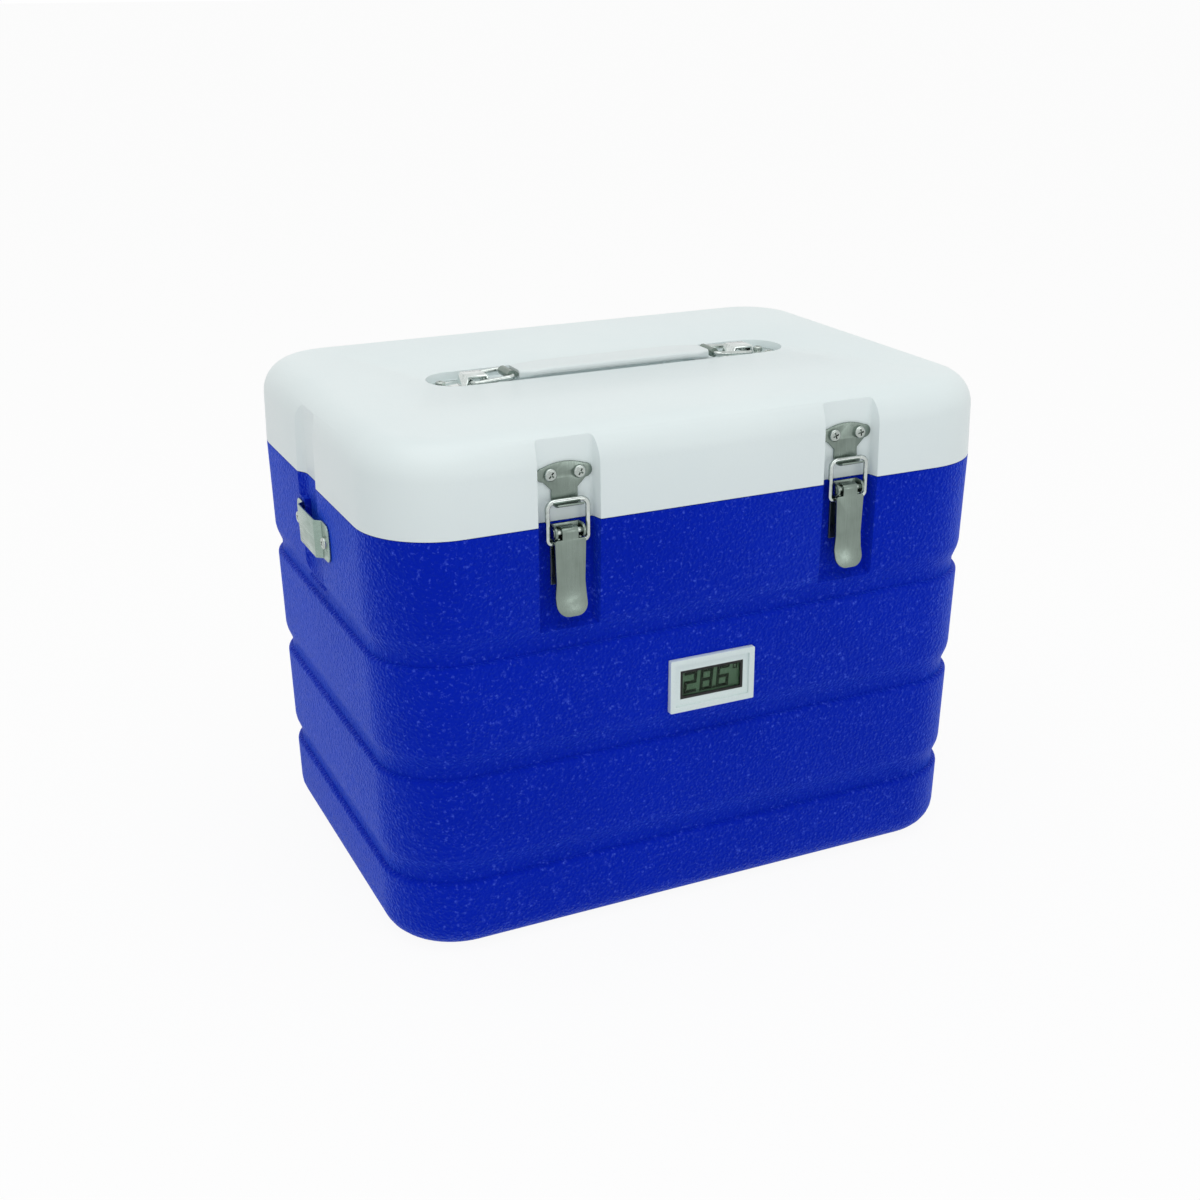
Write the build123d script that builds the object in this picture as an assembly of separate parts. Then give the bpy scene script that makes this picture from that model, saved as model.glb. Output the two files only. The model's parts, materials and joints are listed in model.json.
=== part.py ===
from build123d import *
import math
import os

# Vaccine carrier: an insulated box with a hinged lid, two toggle latches, a lift-up handle set in
# the lid, a strap bridge on each end and a thermometer in the front wall.
# Millimetres, +Z up, front face towards -Y, origin at the centre of the base.

# Overall size
length = 340.0
depth = 239.0
body_height = 221.0
seam_gap = 0.4
lid_height = 44.3
corner_radius = 40.0
body_draft = 4.2
lid_draft = 0.7
base_edge_radius = 14.0
lid_edge_radius = 17.5

# Walls, insulation and the payload cavity
shell_wall = 3.0
liner_wall = 2.0
insulation = 37.0
cavity_radius = 18.0
cavity_draft = 2.0
cavity_floor_radius = 8.0
plug_depth = 12.0
plug_clearance = 3.0
gasket_width = 8.0
gasket_height = 4.0
gasket_setback = 8.0
gasket_rim_clearance = 0.3

# Grooves running round the body
ledge_heights = (39.5, 97.5, 157.4)
ledge_edge_radius = 1.2
ledge_slope = 0.8
groove_depth = 2.8
groove_straight = 6.0
groove_slope = 8.0

# Pockets for the latches, front of body and lid
latch_offset = 77.5
pocket_depth = 7.0
pocket_ramp = 6.0
pocket_side_slope = 1.5
pocket_side_room = 0.25
pocket_foot_room = 4.0

# Channel down each end, crossed by the strap bridge
channel_center = 3.0
channel_width = 35.0
channel_floor_width = 24.0
channel_depth = 3.5
channel_drop = 51.0
channel_ramp = 5.0

# Strap bridge
bridge_metal = 1.2
bridge_height = 20.0
bridge_center = -5.5
bridge_plate = 29.0
bridge_leg = 3.0
bridge_flange = 11.0
bridge_drop = 23.6
bridge_stand = 4.4
bridge_end_radius = 5.0
boss_margin = 1.5

# Screws
screw_head_radius = 3.2
screw_head_height = 1.9
screw_shank_radius = 1.75
screw_length = 8.0
small_head_radius = 2.6
small_head_height = 1.2
small_shank_radius = 1.3
small_screw_length = 8.0
screw_hole_clearance = 0.2
head_round = 0.5
cross_width = 0.9
cross_depth = 0.8

# Latch base and main pivot; drops are measured down from the pivot
latch_metal = 1.2
pivot_drop = 4.0
pivot_stand = 4.8
pivot_radius = 1.5
running_clearance = 0.05
ear_inner = 6.5
ear_clearance = 0.55
pivot_head_radius = 2.2
pivot_head = 0.5
base_drop = 27.0
base_screw_drops = (12.0, 21.5)

# Latch lever
lever_width = 16.0
lever_waist_width = 14.8
lever_neck_width = 8.2
lever_shoulder_drop = 3.2
lever_waist_drop = 24.0
lever_bend_drop = 31.5
lever_tip_drop = 41.0
lever_shoulder_radius = 1.2
lever_tip_radius = 6.0
lever_flare = 3.0
lug_gap = 0.4
lug_clearance = 0.45

# Bail, and the sleeve that carries it in the lever
crank_radius = 5.2
over_centre = 5.0
bail_wire_radius = 1.25
bail_side_gap = 1.1
bail_rise = 15.2
bail_top_radius = 3.6
bail_foot_radius = 2.2
bail_foot_reach = 0.3
sleeve_wall = 0.5

# Keeper on the lid
keeper_width = 28.5
keeper_wing_radius = 3.4
keeper_neck_width = 13.5
keeper_neck_rise = 4.8
keeper_wing_rise = 7.6
keeper_crown = 5.6
keeper_screw_offset = 7.4
hook_clearance = 0.3
hook_thickness = 1.0
hook_lip_angle = 30.0

# Rear hinges
hinge_offset = 77.5
hinge_width = 48.0
hinge_leaf_height = 26.0
hinge_metal = 1.5
hinge_seat_depth = 1.5
hinge_seat_margin = 2.0
hinge_pin_radius = 1.5
hinge_pin_head_radius = 2.4
hinge_pin_head = 1.2
hinge_knuckle_stand = 0.4
hinge_knuckle_gap = 0.35
hinge_middle_knuckle = 24.0
hinge_stop_length = 7.5
hinge_screw_offset = 17.0
hinge_screw_drop = 17.0
hinge_corner_radius = 3.0

# Handle recess in the lid
recess_width = 33.0
recess_end_room = 2.0
recess_shelf_depth = 5.0
recess_middle_length = 108.0
recess_middle_depth = 20.0

# Handle: a steel strip in a soft grip, hung from a ring and a bracket at each end
grip_length = 112.0
grip_width = 21.0
grip_end_width = 15.0
grip_end_thickness = 4.6
grip_below = 1.3
grip_above = 2.8
grip_hump_length = 76.0
grip_hump_slope = 10.0
grip_edge_radius = 1.6
strip_thickness = 1.5
strip_width = 13.0
strip_eye_reach = 4.0
strip_eye_wall = 1.2
ring_length = 22.0
ring_half_width = 10.0
ring_wire_radius = 1.25
ring_corner_radius = 2.8
ring_rest_tilt = 4.0
ring_raised_tilt = 45.0
handle_plate_thickness = 1.5
handle_plate_width = 24.0
handle_plate_lead = 6.0
handle_plate_tail = 7.0
handle_plate_end_flat = 1.0
knuckle_width = 12.0
knuckle_metal = 1.4
knuckle_lean = 0.75
knuckle_play_below = 1.0
knuckle_play_above = 0.6
knuckle_end_clearance = 0.5
handle_screw_reach = 13.05
handle_screw_y = 6.0

# Thermometer in the front wall
meter_width = 48.0
meter_height = 28.6
meter_center_height = 126.6
meter_stand = 2.8
meter_seat = 0.3
meter_fit = 0.2
meter_edge_radius = 1.4
meter_rim = 3.0
meter_step = 1.2
meter_lip = 1.0
meter_case_depth = 14.0
meter_case_wall = 1.2
window_side = 6.0
window_head = 6.55
window_thickness = 1.0
window_lap = 1.0
panel_thickness = 1.6
board_thickness = 1.2
board_margin = 1.0
cell_radius = 5.8
cell_thickness = 5.4
cell_offset = 9.0
lead_radius = 1.2
lead_bend = 8.0
lead_drop = 6.0
lead_setback = 0.6
probe_radius = 2.6
probe_length = 18.0
probe_height = 60.0

# How closely an edge must lie to the plane it is looked for in
edge_tolerance = 0.05

# Planes and heights that follow from the sizes above
front = -depth / 2
rear = depth / 2
end = length / 2
lid_bottom = body_height + seam_gap
lid_top = lid_bottom + lid_height
beyond = 2 * corner_radius
draft_angle = math.degrees(math.atan(body_draft / body_height))
channel_bottom = body_height - channel_drop
bridge_center_height = body_height - bridge_drop

pivot_height = body_height - pivot_drop
base_bottom = pivot_height - base_drop
base_screw_heights = [pivot_height - drop for drop in base_screw_drops]
lever_shoulder_height = pivot_height - lever_shoulder_drop
lever_waist_height = pivot_height - lever_waist_drop
lever_bend_height = pivot_height - lever_bend_drop
lever_tip_height = pivot_height - lever_tip_drop
bail_bar_height = pivot_height + bail_rise
keeper_neck_height = bail_bar_height + keeper_neck_rise
keeper_wing_height = keeper_neck_height + keeper_wing_rise
keeper_top_height = keeper_wing_height + keeper_crown
pocket_bottom = lever_tip_height - pocket_foot_room
pocket_width = keeper_width + 2 * (pocket_side_slope + pocket_side_room)

pocket_floor = front + pocket_depth
base_face = pocket_floor - latch_metal
pivot_y = pocket_floor - pivot_stand
roll_radius = pivot_radius + running_clearance + latch_metal
lever_front = pivot_y - roll_radius
lever_back = lever_front + latch_metal
crank_angle = math.radians(over_centre)
foot_y = pivot_y + crank_radius * math.sin(crank_angle)
foot_height = pivot_height - crank_radius * math.cos(crank_angle)
ear_radius = crank_radius - bail_wire_radius - ear_clearance
lug_radius = base_face - lug_clearance - foot_y
lug_inner = ear_inner - lug_gap - latch_metal
sleeve_end = ear_inner - lug_gap / 2
bail_leg_x = lever_width / 2 + bail_side_gap + bail_wire_radius
bail_foot_inner = lug_inner - bail_foot_reach
sleeve_radius = bail_wire_radius + running_clearance + sleeve_wall
hook_center_height = bail_bar_height + crank_radius * math.cos(crank_angle)
hook_radius = crank_radius + bail_wire_radius + hook_clearance

rear_seat = rear - hinge_seat_depth
hinge_knuckle_radius = hinge_pin_radius + running_clearance + hinge_metal
hinge_y = rear_seat + hinge_knuckle_stand + hinge_knuckle_radius
hinge_z = body_height + seam_gap / 2

recess_shelf = lid_top - recess_shelf_depth
recess_floor = lid_top - recess_middle_depth
handle_plate_top = recess_shelf + handle_plate_thickness
rest_tilt = math.radians(ring_rest_tilt)
raised_tilt = math.radians(ring_raised_tilt)
strip_eye_offset = grip_length / 2 + strip_eye_reach
ring_outer_z = handle_plate_top + knuckle_play_below + ring_wire_radius
ring_inner_z = ring_outer_z + ring_length * math.sin(rest_tilt)
ring_outer_x = strip_eye_offset + ring_length * math.cos(rest_tilt)
ring_travel = ring_length * (math.cos(rest_tilt) - math.cos(raised_tilt))
handle_lift = ring_length * (math.sin(raised_tilt) - math.sin(rest_tilt))
strip_eye_radius = ring_wire_radius + running_clearance + strip_eye_wall
handle_screw_x = ring_outer_x + handle_screw_reach
handle_plate_end = handle_screw_x + handle_plate_tail
recess_length = 2 * (handle_plate_end + recess_end_room)

meter_cutout_width = meter_width - 2 * meter_lip
meter_cutout_height = meter_height - 2 * meter_lip
window_width = meter_width - 2 * window_side
window_height = meter_height - 2 * window_head
meter_face = front + body_draft * (body_height - meter_center_height) / body_height
bezel_front = meter_face - meter_stand
bezel_back = meter_face + meter_seat
case_back = bezel_back + meter_case_depth
lead_y = front + insulation - liner_wall - lead_setback - probe_radius
lead_height = meter_center_height - lead_drop


# Shared shapes

def body_inset(z):
    """How far the drafted body wall has come in at height z."""
    return body_draft * (body_height - z) / body_height


def outline(z, inset):
    """Rounded rectangle at height z, set in from the overall length and depth."""
    return Pos(0, 0, z) * RectangleRounded(length - 2 * inset, depth - 2 * inset, corner_radius - inset)


def stack(levels):
    """Solid whose outline passes through each (height, inset) level in turn."""
    return loft([outline(z, inset) for z, inset in levels], ruled=True)


def edges_at(shape, z):
    """The edges that lie level at height z."""
    low = z - edge_tolerance
    high = z + edge_tolerance
    return [e for e in shape.edges() if e.bounding_box().min.Z > low and e.bounding_box().max.Z < high]


def box_between(low, high):
    size = [b - a for a, b in zip(low, high)]
    center = [(a + b) / 2 for a, b in zip(low, high)]
    return Pos(*center) * Box(*size)


def from_side(points, x_low, x_high):
    """Extrude a (y, z) outline along X."""
    corners = [Vector(x_low, y, z) for y, z in points]
    return extrude(make_face(Polyline(corners, close=True)), amount=x_high - x_low, dir=(1, 0, 0))


def from_above(points, z_low, z_high):
    """Extrude an (x, y) outline along Z."""
    corners = [Vector(x, y, z_low) for x, y in points]
    return extrude(make_face(Polyline(corners, close=True)), amount=z_high - z_low, dir=(0, 0, 1))


def from_front(points, y_low, y_high):
    """Extrude an (x, z) outline along Y."""
    corners = [Vector(x, y_low, z) for x, z in points]
    return extrude(make_face(Polyline(corners, close=True)), amount=y_high - y_low, dir=(0, 1, 0))


def rod_x(radius, x_low, x_high, y, z):
    """Round rod lying along X."""
    return Pos((x_low + x_high) / 2, y, z) * Rot(0, 90, 0) * Cylinder(radius, x_high - x_low)


def wire_sweep(path, radius):
    section = Plane(origin=path @ 0, z_dir=path % 0) * Circle(radius)
    return sweep(section, path=path)


def pair(shape):
    """The shape on the right and its mirror image on the left."""
    return {"right": shape, "left": mirror(shape, about=Plane.YZ)}


def both(shape):
    return list(pair(shape).values())


# Screws

def screw(head_radius, head_height, shank_radius, shank_length):
    """Pan-head screw with a cross recess, head up, its seat at z = 0."""
    head = Pos(0, 0, head_height / 2) * Cylinder(head_radius, head_height)
    head = fillet(head.edges().group_by(Axis.Z)[-1], head_round)
    for turn in (0, 90):
        bar = Box(head_radius, cross_width, cross_depth)
        head -= Pos(0, 0, head_height - cross_depth / 2) * Rot(0, 0, turn) * bar
    return head + Pos(0, 0, -shank_length / 2) * Cylinder(shank_radius, shank_length)


def screws_at(seats, outward, small=False):
    """Screws seated at each point, heads facing outward."""
    if small:
        sizes = (small_head_radius, small_head_height, small_shank_radius, small_screw_length)
    else:
        sizes = (screw_head_radius, screw_head_height, screw_shank_radius, screw_length)
    return [Plane(origin=seat, z_dir=outward) * screw(*sizes) for seat in seats]


def holes_at(seats, outward, small=False):
    """Clearance holes through a plate under those screws."""
    radius = (small_shank_radius if small else screw_shank_radius) + screw_hole_clearance
    reach = small_screw_length
    return [Plane(origin=seat, z_dir=outward) * Cylinder(radius, reach) for seat in seats]


strap_surface = end - body_inset(bridge_center_height)
bridge_foot = bridge_plate / 2 + bridge_leg
strap_screw_reach = bridge_foot + bridge_flange / 2


def strap_seats():
    ys = (bridge_center - strap_screw_reach, bridge_center + strap_screw_reach)
    return [Vector(strap_surface + bridge_metal, y, bridge_center_height) for y in ys]


def base_seats():
    return [Vector(latch_offset, base_face, z) for z in base_screw_heights]


def keeper_seats():
    xs = (latch_offset - keeper_screw_offset, latch_offset + keeper_screw_offset)
    return [Vector(x, base_face, keeper_wing_height) for x in xs]


def hinge_seats(z):
    xs = (hinge_offset - hinge_screw_offset, hinge_offset + hinge_screw_offset)
    return [Vector(x, rear_seat + hinge_metal, z) for x in xs]


def handle_seats():
    return [Vector(handle_screw_x, y, handle_plate_top) for y in (-handle_screw_y, handle_screw_y)]


body_hinge_seats = hinge_seats(body_height - hinge_screw_drop)
lid_hinge_seats = hinge_seats(lid_bottom + hinge_screw_drop)
toward_front = (0, -1, 0)
toward_rear = (0, 1, 0)
toward_top = (0, 0, 1)
toward_end = (math.cos(math.radians(draft_angle)), 0, -math.sin(math.radians(draft_angle)))


def mirrored_set(solids):
    return [copy for solid in solids for copy in both(solid)]


latch_base_screws = mirrored_set(screws_at(base_seats(), toward_front, small=True))
keeper_screws = mirrored_set(screws_at(keeper_seats(), toward_front))
hinge_body_screws = mirrored_set(screws_at(body_hinge_seats, toward_rear))
hinge_lid_screws = mirrored_set(screws_at(lid_hinge_seats, toward_rear))
strap_screws = mirrored_set(screws_at(strap_seats(), toward_end))
handle_screws = mirrored_set(screws_at(handle_seats(), toward_top, small=True))


# Hollows cut in the shells; grow turns a hollow into the outside of the wall behind it

def latch_pocket(bottom, top, grow=0.0):
    """Pocket for a latch: ramped at its foot, open above."""
    half = pocket_width / 2 + grow
    floor_half = half - pocket_side_slope
    floor = pocket_floor + grow
    widen = pocket_side_slope * beyond / pocket_depth
    drop = pocket_ramp * beyond / pocket_depth
    plan = from_above(
        [
            (latch_offset - floor_half, floor),
            (latch_offset + floor_half, floor),
            (latch_offset + floor_half + widen, floor - beyond),
            (latch_offset - floor_half - widen, floor - beyond),
        ],
        bottom - beyond,
        top,
    )
    side = from_side(
        [(floor, bottom - grow), (floor, top), (floor - beyond, top), (floor - beyond, bottom - grow - drop)],
        0,
        length,
    )
    return plan & side


def end_channel(bottom, top, grow=0.0):
    """Shallow channel behind the strap bridge, with sloping sides and foot."""
    floor = end - channel_depth - grow
    floor_half = channel_floor_width / 2 + grow
    widen = (channel_width - channel_floor_width) / 2 * beyond / channel_depth
    drop = channel_ramp * beyond / channel_depth
    plan = from_above(
        [
            (floor, channel_center - floor_half),
            (floor, channel_center + floor_half),
            (floor + beyond, channel_center + floor_half + widen),
            (floor + beyond, channel_center - floor_half - widen),
        ],
        bottom - drop,
        top,
    )
    side = from_front(
        [(floor, bottom - grow), (floor, top), (floor + beyond, top), (floor + beyond, bottom - grow - drop)],
        -depth,
        depth,
    )
    return plan & side


def bridge_boss():
    """Raised part of the channel, flush with the wall, that carries the bridge's rear flange."""
    reach = bridge_height / 2 + boss_margin
    return box_between(
        (0, bridge_center + bridge_foot - boss_margin, bridge_center_height - reach),
        (end + beyond, rear, bridge_center_height + reach),
    )


def hinge_seat(low, high, grow=0.0):
    """Flat seat for a hinge leaf in the rear wall."""
    half = hinge_width / 2 + hinge_seat_margin + grow
    return box_between(
        (hinge_offset - half, rear_seat - grow, low - grow), (hinge_offset + half, rear + beyond, high + grow)
    )


def handle_recess(grow=0.0):
    """Long rounded recess in the lid: a shelf at each end and a deeper middle."""
    plan = SlotOverall(recess_length + 2 * grow, recess_width + 2 * grow)
    middle = SlotOverall(recess_middle_length + 2 * grow, recess_width + 2 * grow)
    shelf = recess_shelf - grow
    floor = recess_floor - grow
    return Pos(0, 0, shelf) * extrude(plan, amount=beyond) + Pos(0, 0, floor) * extrude(middle, amount=beyond)


def meter_block(width, height, y_low, y_high):
    """Block centred on the thermometer."""
    return box_between(
        (-width / 2, y_low, meter_center_height - height / 2),
        (width / 2, y_high, meter_center_height + height / 2),
    )


# Insulated body

def body_hollows(grow=0.0):
    """Pockets, channels and seats in the body wall; grown ones follow them inside the wall."""
    top = body_height + beyond
    leaf_low = body_height - hinge_leaf_height - hinge_seat_margin
    hollows = both(latch_pocket(pocket_bottom, top, grow))
    channel = end_channel(channel_bottom, top, grow)
    if not grow:
        channel -= bridge_boss()
    hollows += both(channel)
    return hollows + both(hinge_seat(leaf_low, top, grow))


def banded_solid(bottom, top, inset, ledge_drop):
    """The grooved body outline, set in by a wall and with its ledges lowered by ledge_drop."""
    levels = [(bottom, inset + body_inset(bottom))]
    for height in ledge_heights:
        ledge = height - ledge_drop
        slope_start = height + groove_straight
        slope_end = slope_start + groove_slope
        levels.append((ledge - ledge_slope, inset + body_inset(ledge)))
        levels.append((ledge, inset + groove_depth + body_inset(ledge)))
        levels.append((slope_start, inset + groove_depth + body_inset(slope_start)))
        levels.append((slope_end, inset + body_inset(slope_end)))
    levels.append((top, inset + body_inset(top)))
    return stack(levels)


def body_outer():
    solid = banded_solid(0, body_height, 0, 0)
    solid = fillet(edges_at(solid, 0), base_edge_radius)
    for height in ledge_heights:
        solid = fillet(edges_at(solid, height - ledge_slope), ledge_edge_radius)
    return solid - body_hollows()


def body_inner():
    solid = banded_solid(shell_wall, body_height, shell_wall, shell_wall)
    solid = fillet(edges_at(solid, shell_wall), base_edge_radius - shell_wall)
    return solid - body_hollows(shell_wall)


def cavity(grow=0.0):
    """Payload cavity, drafted, with a rounded floor edge; grow gives the outside of its liner."""
    sections = []
    for z, draft in ((insulation - grow, cavity_draft), (body_height, 0)):
        setback = 2 * (insulation + draft - grow)
        sections.append(
            Pos(0, 0, z) * RectangleRounded(length - setback, depth - setback, cavity_radius + grow - draft)
        )
    solid = loft(sections, ruled=True)
    return fillet(edges_at(solid, insulation - grow), cavity_floor_radius + grow)


def slab(z_low, z_high):
    return box_between((-length, -depth, z_low), (length, depth, z_high))


def body_shell(outer, inner):
    shell = outer - inner
    seat = meter_block(meter_width + meter_fit, meter_height + meter_fit, front - beyond, bezel_back)
    shell -= seat
    shell -= meter_block(meter_cutout_width, meter_cutout_height, front, front + pocket_depth)
    return shell - latch_base_screws - hinge_body_screws - strap_screws


def body_liner(inner):
    """White tub whose flange covers the top of the insulation."""
    flange = inner & slab(body_height - liner_wall, body_height)
    return flange + cavity(liner_wall) - cavity()


def body_foam(inner, lead, probe):
    foam = inner - cavity(liner_wall) - slab(body_height - liner_wall, body_height)
    foam -= meter_block(meter_cutout_width, meter_cutout_height, front, case_back)
    return foam - lead - probe - latch_base_screws - hinge_body_screws - strap_screws


# Insulated lid

def lid_hollows(grow=0.0):
    low = lid_bottom - beyond
    high = lid_top + beyond
    leaf_high = lid_bottom + hinge_leaf_height + hinge_seat_margin
    hollows = both(latch_pocket(low, high, grow))
    hollows += both(end_channel(low, high, grow))
    hollows += both(hinge_seat(low, leaf_high, grow))
    return hollows + [handle_recess(grow)]


def lid_outer():
    solid = stack([(lid_bottom, 0), (lid_top, lid_draft)])
    return fillet(edges_at(solid, lid_top), lid_edge_radius) - lid_hollows()


def lid_inner():
    top = lid_top - shell_wall
    solid = stack([(lid_bottom, shell_wall), (top, shell_wall + lid_draft)])
    return fillet(edges_at(solid, top), lid_edge_radius - shell_wall) - lid_hollows(shell_wall)


def plug(grow=0.0):
    """The part of the lid liner that drops into the cavity's mouth."""
    setback = 2 * (insulation + plug_clearance - grow)
    radius = cavity_radius - plug_clearance + grow
    face = RectangleRounded(length - setback, depth - setback, radius)
    bottom = lid_bottom - plug_depth - grow
    return Pos(0, 0, bottom) * extrude(face, amount=plug_depth + grow + liner_wall)


def gasket_ring(z_low, z_high, grow=0.0):
    """Ring round the cavity's mouth, on the rim of the body."""
    rings = []
    for distance in (gasket_setback + gasket_width + grow, gasket_setback - grow):
        setback = 2 * (insulation - distance)
        face = RectangleRounded(length - setback, depth - setback, cavity_radius + distance)
        rings.append(Pos(0, 0, z_low) * extrude(face, amount=z_high - z_low))
    return rings[0] - rings[1]


def lid_gasket():
    low = body_height + gasket_rim_clearance
    return gasket_ring(low, low + gasket_height)


def lid_liner(inner):
    """White inner panel with the plug and the raised groove that holds the gasket."""
    groove_top = body_height + gasket_rim_clearance + gasket_height
    panel = inner & slab(lid_bottom, lid_bottom + liner_wall)
    panel += gasket_ring(lid_bottom, groove_top + liner_wall, liner_wall)
    panel += plug()
    return panel - plug(-liner_wall) - gasket_ring(body_height, groove_top)


def lid_shell(outer, inner):
    return outer - inner - keeper_screws - hinge_lid_screws - handle_screws


def lid_foam(inner, liner, gasket):
    filling = inner + plug(-liner_wall) - liner - gasket
    return filling - keeper_screws - hinge_lid_screws - handle_screws


# Toggle latch, right-hand side

def latch_base():
    """Plate on the pocket floor with two ears turned out for the pivot pin."""
    outer = ear_inner + latch_metal
    base = box_between(
        (latch_offset - outer, base_face, base_bottom),
        (latch_offset + outer, pocket_floor, pivot_height + ear_radius),
    )
    for ear_x in (latch_offset - outer, latch_offset + ear_inner):
        base += rod_x(ear_radius, ear_x, ear_x + latch_metal, pivot_y, pivot_height)
        base += box_between(
            (ear_x, pivot_y, pivot_height - ear_radius),
            (ear_x + latch_metal, pocket_floor, pivot_height + ear_radius),
        )
    base -= rod_x(pivot_radius, latch_offset - outer, latch_offset + outer, pivot_y, pivot_height)
    return base - holes_at(base_seats(), toward_front, small=True)


def latch_pivot_pin():
    outer = ear_inner + latch_metal
    pin = rod_x(pivot_radius, latch_offset - outer, latch_offset + outer, pivot_y, pivot_height)
    for head_x in (latch_offset - outer - pivot_head, latch_offset + outer):
        pin += rod_x(pivot_head_radius, head_x, head_x + pivot_head, pivot_y, pivot_height)
    return pin


def lever_front_view():
    """The lever seen from the front: narrow neck, square shoulders, slight waist, rounded tip."""
    half = lever_width / 2
    neck = lever_neck_width / 2
    waist = lever_waist_width / 2
    right = [
        (neck, pivot_height),
        (neck, lever_shoulder_height),
        (half, lever_shoulder_height),
        (waist, lever_waist_height),
        (half, lever_bend_height),
        (half, lever_tip_height),
    ]
    points = [(latch_offset + x, z) for x, z in right] + [(latch_offset - x, z) for x, z in reversed(right)]
    blank = from_front(points, lever_front - lever_flare - latch_metal, lever_back)
    blank = fillet(blank.edges().filter_by(Axis.Y).group_by(Axis.Z)[0], lever_tip_radius)
    shoulders = [
        edge
        for edge in blank.edges().filter_by(Axis.Y)
        if abs(edge.center().Z - lever_shoulder_height) < edge_tolerance
        and abs(edge.center().X - latch_offset) > (neck + half) / 2
    ]
    return fillet(shoulders, lever_shoulder_radius)


def latch_lever():
    """Pressed lever rolled round the pivot pin, with two lugs behind it for the bail sleeve."""
    side = from_side(
        [
            (lever_front, pivot_height),
            (lever_front, lever_bend_height),
            (lever_front - lever_flare, lever_tip_height),
            (lever_back - lever_flare, lever_tip_height),
            (lever_back, lever_bend_height),
            (lever_back, pivot_height),
        ],
        latch_offset - lever_width,
        latch_offset + lever_width,
    )
    lever = side & lever_front_view()
    neck = lever_neck_width / 2
    lever += rod_x(roll_radius, latch_offset - neck, latch_offset + neck, pivot_y, pivot_height)
    for lug_x in (latch_offset - lug_inner - latch_metal, latch_offset + lug_inner):
        lever += rod_x(lug_radius, lug_x, lug_x + latch_metal, foot_y, foot_height)
        lever += box_between(
            (lug_x, lever_back, foot_height - lug_radius),
            (lug_x + latch_metal, foot_y, foot_height + lug_radius),
        )
    bore = pivot_radius + running_clearance
    lever -= rod_x(bore, latch_offset - lever_width, latch_offset + lever_width, pivot_y, pivot_height)
    lug_bore = sleeve_radius + running_clearance
    return lever - rod_x(lug_bore, latch_offset - sleeve_end, latch_offset + sleeve_end, foot_y, foot_height)


def latch_sleeve():
    """Tube in the lever's lugs; the bail's feet turn in its ends."""
    low = latch_offset - sleeve_end
    high = latch_offset + sleeve_end
    bore = bail_wire_radius + running_clearance
    return rod_x(sleeve_radius, low, high, foot_y, foot_height) - rod_x(bore, low, high, foot_y, foot_height)


def latch_bail():
    """Wire loop from the sleeve up to its top bar, behind the lip of the keeper's hook."""
    right = [(bail_foot_inner, foot_height), (bail_leg_x, foot_height), (bail_leg_x, bail_bar_height)]
    points = [(-x, z) for x, z in right] + list(reversed(right))
    corners = [Vector(latch_offset + x, foot_y, z) for x, z in points]
    radii = [bail_foot_radius, bail_top_radius, bail_top_radius, bail_foot_radius]
    return wire_sweep(FilletPolyline(corners, radius=radii), bail_wire_radius)


def hook():
    """The keeper's lower edge, curled forward under the bail's bar and up in front of it."""
    low = latch_offset - keeper_neck_width / 2
    high = latch_offset + keeper_neck_width / 2
    outer_radius = hook_radius + hook_thickness
    curl = rod_x(outer_radius, low, high, pivot_y, hook_center_height)
    curl -= rod_x(hook_radius, low, high, pivot_y, hook_center_height)
    lip = math.radians(hook_lip_angle)
    reach = 2 * outer_radius
    sector = from_side(
        [
            (pivot_y, hook_center_height),
            (pivot_y - reach * math.sin(lip), hook_center_height - reach * math.cos(lip)),
            (pocket_floor, hook_center_height - reach),
            (pocket_floor, hook_center_height - hook_radius / 2),
        ],
        low,
        high,
    )
    middle_radius = hook_radius + hook_thickness / 2
    tip_y = pivot_y - middle_radius * math.sin(lip)
    tip_z = hook_center_height - middle_radius * math.cos(lip)
    return (curl & sector) + rod_x(hook_thickness / 2, low, high, tip_y, tip_z)


def latch_keeper():
    """Strike plate on the lid: two rounded wings, a neck and the hook."""
    wing_x = keeper_width / 2 - keeper_wing_radius
    neck_x = keeper_neck_width / 2
    hook_meets = hook_center_height - math.sqrt(hook_radius**2 - (base_face - pivot_y) ** 2)
    wing_low = keeper_wing_height - keeper_wing_radius
    wing_high = keeper_wing_height + keeper_wing_radius
    plane = Plane(origin=(latch_offset, pocket_floor, 0), x_dir=(1, 0, 0), z_dir=toward_front)
    with BuildSketch(plane) as sketch:
        with BuildLine():
            Polyline((-wing_x, wing_low), (-neck_x, keeper_neck_height), (-neck_x, hook_meets))
            Line((-neck_x, hook_meets), (neck_x, hook_meets))
            Polyline((neck_x, hook_meets), (neck_x, keeper_neck_height), (wing_x, wing_low))
            ThreePointArc((wing_x, wing_low), (keeper_width / 2, keeper_wing_height), (wing_x, wing_high))
            ThreePointArc((wing_x, wing_high), (0, keeper_top_height), (-wing_x, wing_high))
            ThreePointArc((-wing_x, wing_high), (-keeper_width / 2, keeper_wing_height), (-wing_x, wing_low))
        make_face()
    plate = extrude(sketch.sketch, amount=latch_metal)
    return plate + hook() - holes_at(keeper_seats(), toward_front)


# Rear hinge, right-hand side

def hinge_knuckle(x_low, x_high, bore):
    tube = rod_x(hinge_knuckle_radius, x_low, x_high, hinge_y, hinge_z)
    return tube - rod_x(bore, x_low, x_high, hinge_y, hinge_z)


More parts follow.
